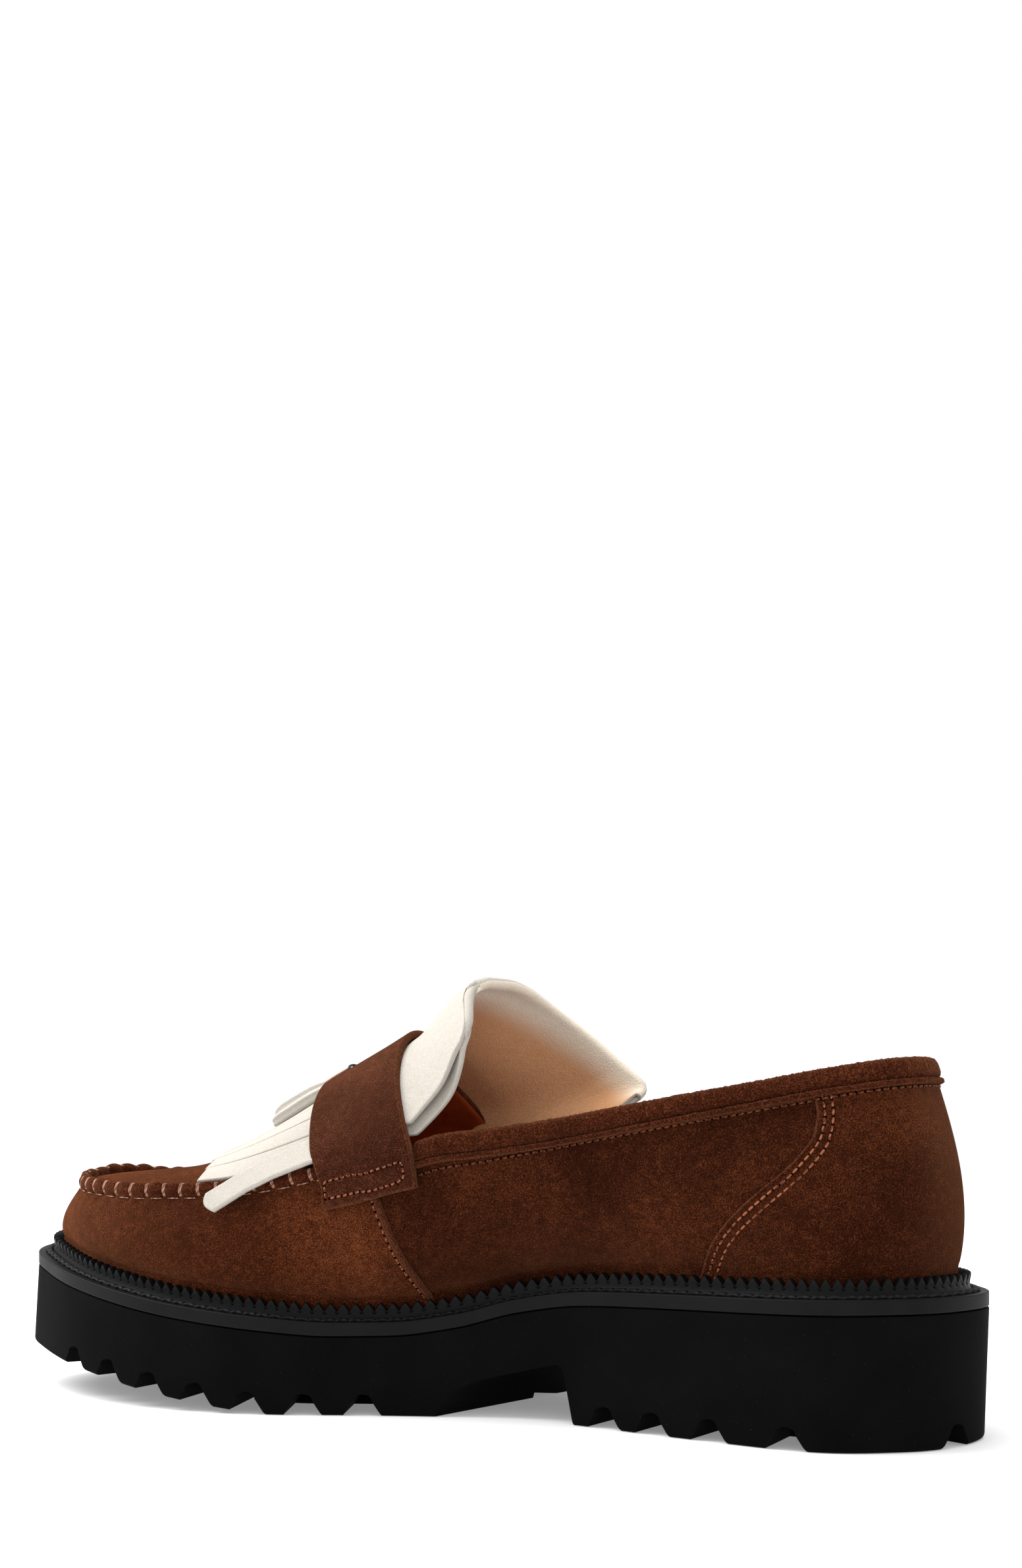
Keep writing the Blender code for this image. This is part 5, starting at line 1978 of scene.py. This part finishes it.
        ahead, behind = (self.inside_collar(layer, depth)
                         for layer, depth in zip((ahead, behind), self.collar_depths))
        return ahead, behind, normals, rise

    def tongue(self) -> None:
        """Folded tongue: front layer up, round the fold and down again behind, parted at its inner edge."""
        spot = np.concatenate([np.linspace(-2.0, -1.05, 10), 2.0 * edged(80, (0.002, 0.006, 0.012)) - 1.0])
        back = np.linspace(self.tongue_root, self.tongue_top, self.tongue_rows)
        ahead, behind, normals, rise = self.layers(back, spot)
        upward = unit(np.cross(normals[-1], unit(np.gradient(ahead[-1], axis=0))))
        crest, hollow = (ahead[-1] + behind[-1]) / 2.0, (ahead[-1] - behind[-1]) / 2.0
        radius = np.linalg.norm(hollow, axis=-1, keepdims=True)
        taper = smoothstep((1.0 - spot) / 0.9)[:, None]
        turn = np.linspace(0.0, math.pi, 9)[1:-1, None, None]
        fold = crest + hollow * np.cos(turn) + upward * radius * np.sin(turn) * (0.1 + 0.9 * taper)
        sheet = np.concatenate([ahead, fold, behind[::-1]])
        bend = slice(len(ahead), len(ahead) + len(fold))
        full = np.concatenate([rise, np.ones((len(fold), 1)), rise[::-1]])
        thick = soft_edge(row_edge(sheet), self.sheet_round, self.sheet_drop)
        thick = self.sheet * (0.6 + 0.4 * full) * thick
        thick[bend] *= 0.35 + 0.65 * taper.T
        room = np.linalg.norm(ahead - behind, axis=-1) / 2.0
        room = np.concatenate([room, np.repeat(radius.T, len(fold), axis=0), room[::-1]])
        run = row_run(sheet)
        # flesh side beyond a cream border at the near edge, coloured with painted light and painted shade
        painted_shaded = (run[:, -1:] - run)[1:, 1:] > self.cream_border
        painted_shaded[:bend.start + len(fold) // 2] = False
        solid = Solid()
        under = -np.minimum(thick, self.room_share * room)
        solid.panel(sheet, grid_normals(sheet, passes=1), thick, under, marked=painted_shaded)
        rim = ((ahead + behind) / 2.0)[back < self.rim_below, -4]
        over = (crest + upward * radius * 0.4)[(spot > 0.05) & (spot < 0.97)][::-1]
        self.rolled_edge(solid, np.concatenate([rim, over]))
        solid.make("kiltie_tongue", [Finish.CREAM, Finish.FLESH])


@dataclass
class TasselTie:
    """Tassel of two plump suede lobes under the strap's edge, held by a leather keeper and a wire ring.

    A lobe is given by its place aside, its drop below the other and its extra length.
    """

    last: Last
    root: float = 193.5
    root_lift: float = 4.9
    lobe: float = 27.0
    lobes: tuple[tuple[float, float, float], ...] = ((4.2, 2.9, 0.0), (-4.4, -0.6, 5.0))
    wide: float = 5.2
    tall: float = 2.5
    slope_deg: float = 24.0
    tilt_deg: float = -9.0
    square: float = 0.85
    steps: int = 40
    around: int = 28
    keeper_span: tuple[float, float] = (197.2, 189.0)
    keeper_half: float = 0.12
    keeper_lift: float = 5.6
    layer: float = 0.75
    layer_step: float = 0.8
    layer_round: float = 0.4
    layer_drop: float = 0.5
    ring_lift: float = 6.0
    ring_half: tuple[float, float] = (4.2, 1.5)
    wire: float = 0.42

    def build(self) -> None:
        """Make the lobes, the keeper and the ring."""
        solid = Solid()
        for lobe in self.lobes:
            solid.loft(self.lobe_rings(*lobe))
        solid.make("tassel_lobes", [Finish.CREAM], ("tassel",))
        self.keeper()

    def lobe_rings(self, aside: float, below: float, longer: float) -> Array:
        """Rings of one lobe from the knot to its tip.

        Args:
            aside: distance to the medial side.
            below: distance down.
            longer: length beyond the usual one.

        Returns:
            Points as (rings, points, 3).
        """
        knot = self.last.saddle(np.array(self.root), np.array(0.0)) + UP * self.root_lift
        share = np.linspace(0.0, 1.0, self.steps)
        turn = circle(self.around)
        cos, sin = (np.sign(wave) * np.abs(wave) ** self.square for wave in (np.cos(turn), np.sin(turn)))
        slope, tilt = math.radians(self.slope_deg), math.radians(self.tilt_deg) * np.sign(aside)
        swollen, spread = smoothstep(share / 0.5), smoothstep(share / 0.85)
        tip = rounded(1.0 - share + 0.002, 0.2)
        width = self.wide * (0.5 + 0.5 * swollen) * tip ** 0.9
        height = self.tall * (0.6 + 0.4 * swollen) * tip ** 0.6
        reach = (self.lobe + longer) * share
        sag = 0.9 * np.sin(math.pi * share) - below * (0.25 + 0.85 * spread)
        centre = knot + np.stack([reach * math.cos(slope), aside * (0.25 + 0.75 * spread),
                                  sag - reach * math.sin(slope)], axis=-1)
        across = np.array([0.0, math.cos(tilt), math.sin(tilt)])
        up = np.array([math.sin(slope), -math.sin(tilt) * math.cos(slope), math.cos(tilt) * math.cos(slope)])
        crease = 1.0 - 0.16 * hump(np.sin(turn), 0.1, 0.22)
        rings = centre[:, None] + (width[:, None] * cos * crease)[..., None] * across
        return rings + (height[:, None] * sin)[..., None] * up

    def keeper(self) -> None:
        """Layered leather keeper lying on the strap's crown, with the wire ring at its rear end."""
        back = np.linspace(*self.keeper_span, 14)[:, None]
        skin = self.last.saddle(back, np.linspace(-self.keeper_half, self.keeper_half, 11)[None, :])
        normals = -grid_normals(skin, passes=3)
        normals = np.where(normals[..., 2:] < 0.0, -normals, normals)
        thick = self.layer * soft_edge(any_edge(skin), self.layer_round, self.layer_drop)
        solid = Solid()
        for low in (self.keeper_lift, self.keeper_lift + self.layer_step):
            solid.panel(skin, normals, low + thick, low)
        solid.make("tassel_keeper", [Finish.ROSE])
        foot, out = skin[-1, 5], normals[-1, 5]
        across = np.array([0.0, 1.0, 0.0])
        turn, section = circle(48), circle(10)
        cos, sin = np.cos(turn)[:, None] * across, np.sin(turn)[:, None] * out
        hoop = foot + out * self.ring_lift + cos * self.ring_half[0] + sin * self.ring_half[1]
        wire = np.cos(section)[:, None] * unit(cos + sin)[:, None]
        wire = wire + np.sin(section)[:, None] * np.cross(across, out)
        ring = Solid()
        ring.loft(hoop[:, None] + self.wire * wire, Cap.JOINED)
        ring.make("tassel_ring", [Finish.STEEL])


@dataclass
class Studio:
    """White floor, soft light and the camera at the photograph's viewing angle."""

    focal_px: float = 2500.0
    frame_height: float = 2380.0
    sensor: float = 36.0
    camera_mm: tuple[float, float, float] = (-209.85, 455.6, 82.8)
    turn_deg: float = 23.3
    horizon_px: float = 1713.5
    floor_half: float = 6.0
    aim: tuple[float, float, float] = (0.0, 0.0, 0.05)

    def build(self) -> None:
        """Set the stage."""
        self.floor()
        self.light()
        self.camera()

    def floor(self) -> None:
        """Plain pale floor."""
        mesh = bpy.data.meshes.new("floor")
        half = self.floor_half
        corners = [(-half, -half, 0), (half, -half, 0), (half, half, 0), (-half, half, 0)]
        mesh.from_pydata(corners, [], [(0, 1, 2, 3)])
        paper = Look("white_paper_sweep", {
            "Base Color": to_linear("#E4E4E4"), "Roughness": 0.9, "Specular IOR Level": 0.1,
            "Emission Color": to_linear("#FFFFFF"), "Emission Strength": 0.22})
        mesh.materials.append(paper.material)
        item = bpy.data.objects.new("floor", mesh)
        bpy.context.scene.collection.objects.link(item)

    def light(self) -> None:
        """Even white surround with soft boxes ahead of the toe and overhead."""
        scene = bpy.context.scene
        scene.view_settings.view_transform = "Standard"
        world = bpy.data.worlds.new("studio")
        world.use_nodes = True
        back = world.node_tree.nodes["Background"]
        back.inputs["Color"].default_value = (1.0, 1.0, 1.0, 1.0)
        back.inputs["Strength"].default_value = 1.0
        scene.world = world
        boxes = (("key_box", (1.0, 0.25, 1.2), 1.0, 26.0), ("top_box", (0.1, -0.1, 1.5), 1.2, 14.0))
        for name, spot, size, power in boxes:
            lamp = bpy.data.lights.new(name, "AREA")
            lamp.size, lamp.energy = size, power
            item = bpy.data.objects.new(name, lamp)
            item.location = spot
            item.rotation_euler = (Vector(self.aim) - Vector(spot)).to_track_quat("-Z", "Y").to_euler()
            scene.collection.objects.link(item)

    def camera(self) -> None:
        """Level camera from the fitted view; its shift keeps the shoe low in the tall frame."""
        data = bpy.data.cameras.new("camera")
        data.sensor_width = self.sensor
        data.lens = self.focal_px / self.frame_height * self.sensor
        data.shift_y = (self.horizon_px - self.frame_height / 2.0) / self.frame_height
        data.clip_start = 0.01
        item = bpy.data.objects.new("camera", data)
        item.location = Vector(self.camera_mm) * MM
        turn = math.radians(self.turn_deg)
        look = Vector((math.sin(turn), -math.cos(turn), 0.0))
        item.rotation_euler = look.to_track_quat("-Z", "Y").to_euler()
        bpy.context.scene.collection.objects.link(item)
        bpy.context.scene.camera = item


def main() -> None:
    """Load the frame and build every piece of the shoe round it."""
    logging.basicConfig(level=logging.INFO, format="%(name)s %(message)s")
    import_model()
    Studio().build()
    last = Last()
    kinds = (LugSole, SolePlate, StormWelt, Footbed, Upper, MocSeam, CollarBinding, Kiltie, SaddleStrap,
             TasselTie)
    for kind in kinds:
        LOG.info("building %s", kind.__name__)
        kind(last).build()


if __name__ == "__main__":
    main()
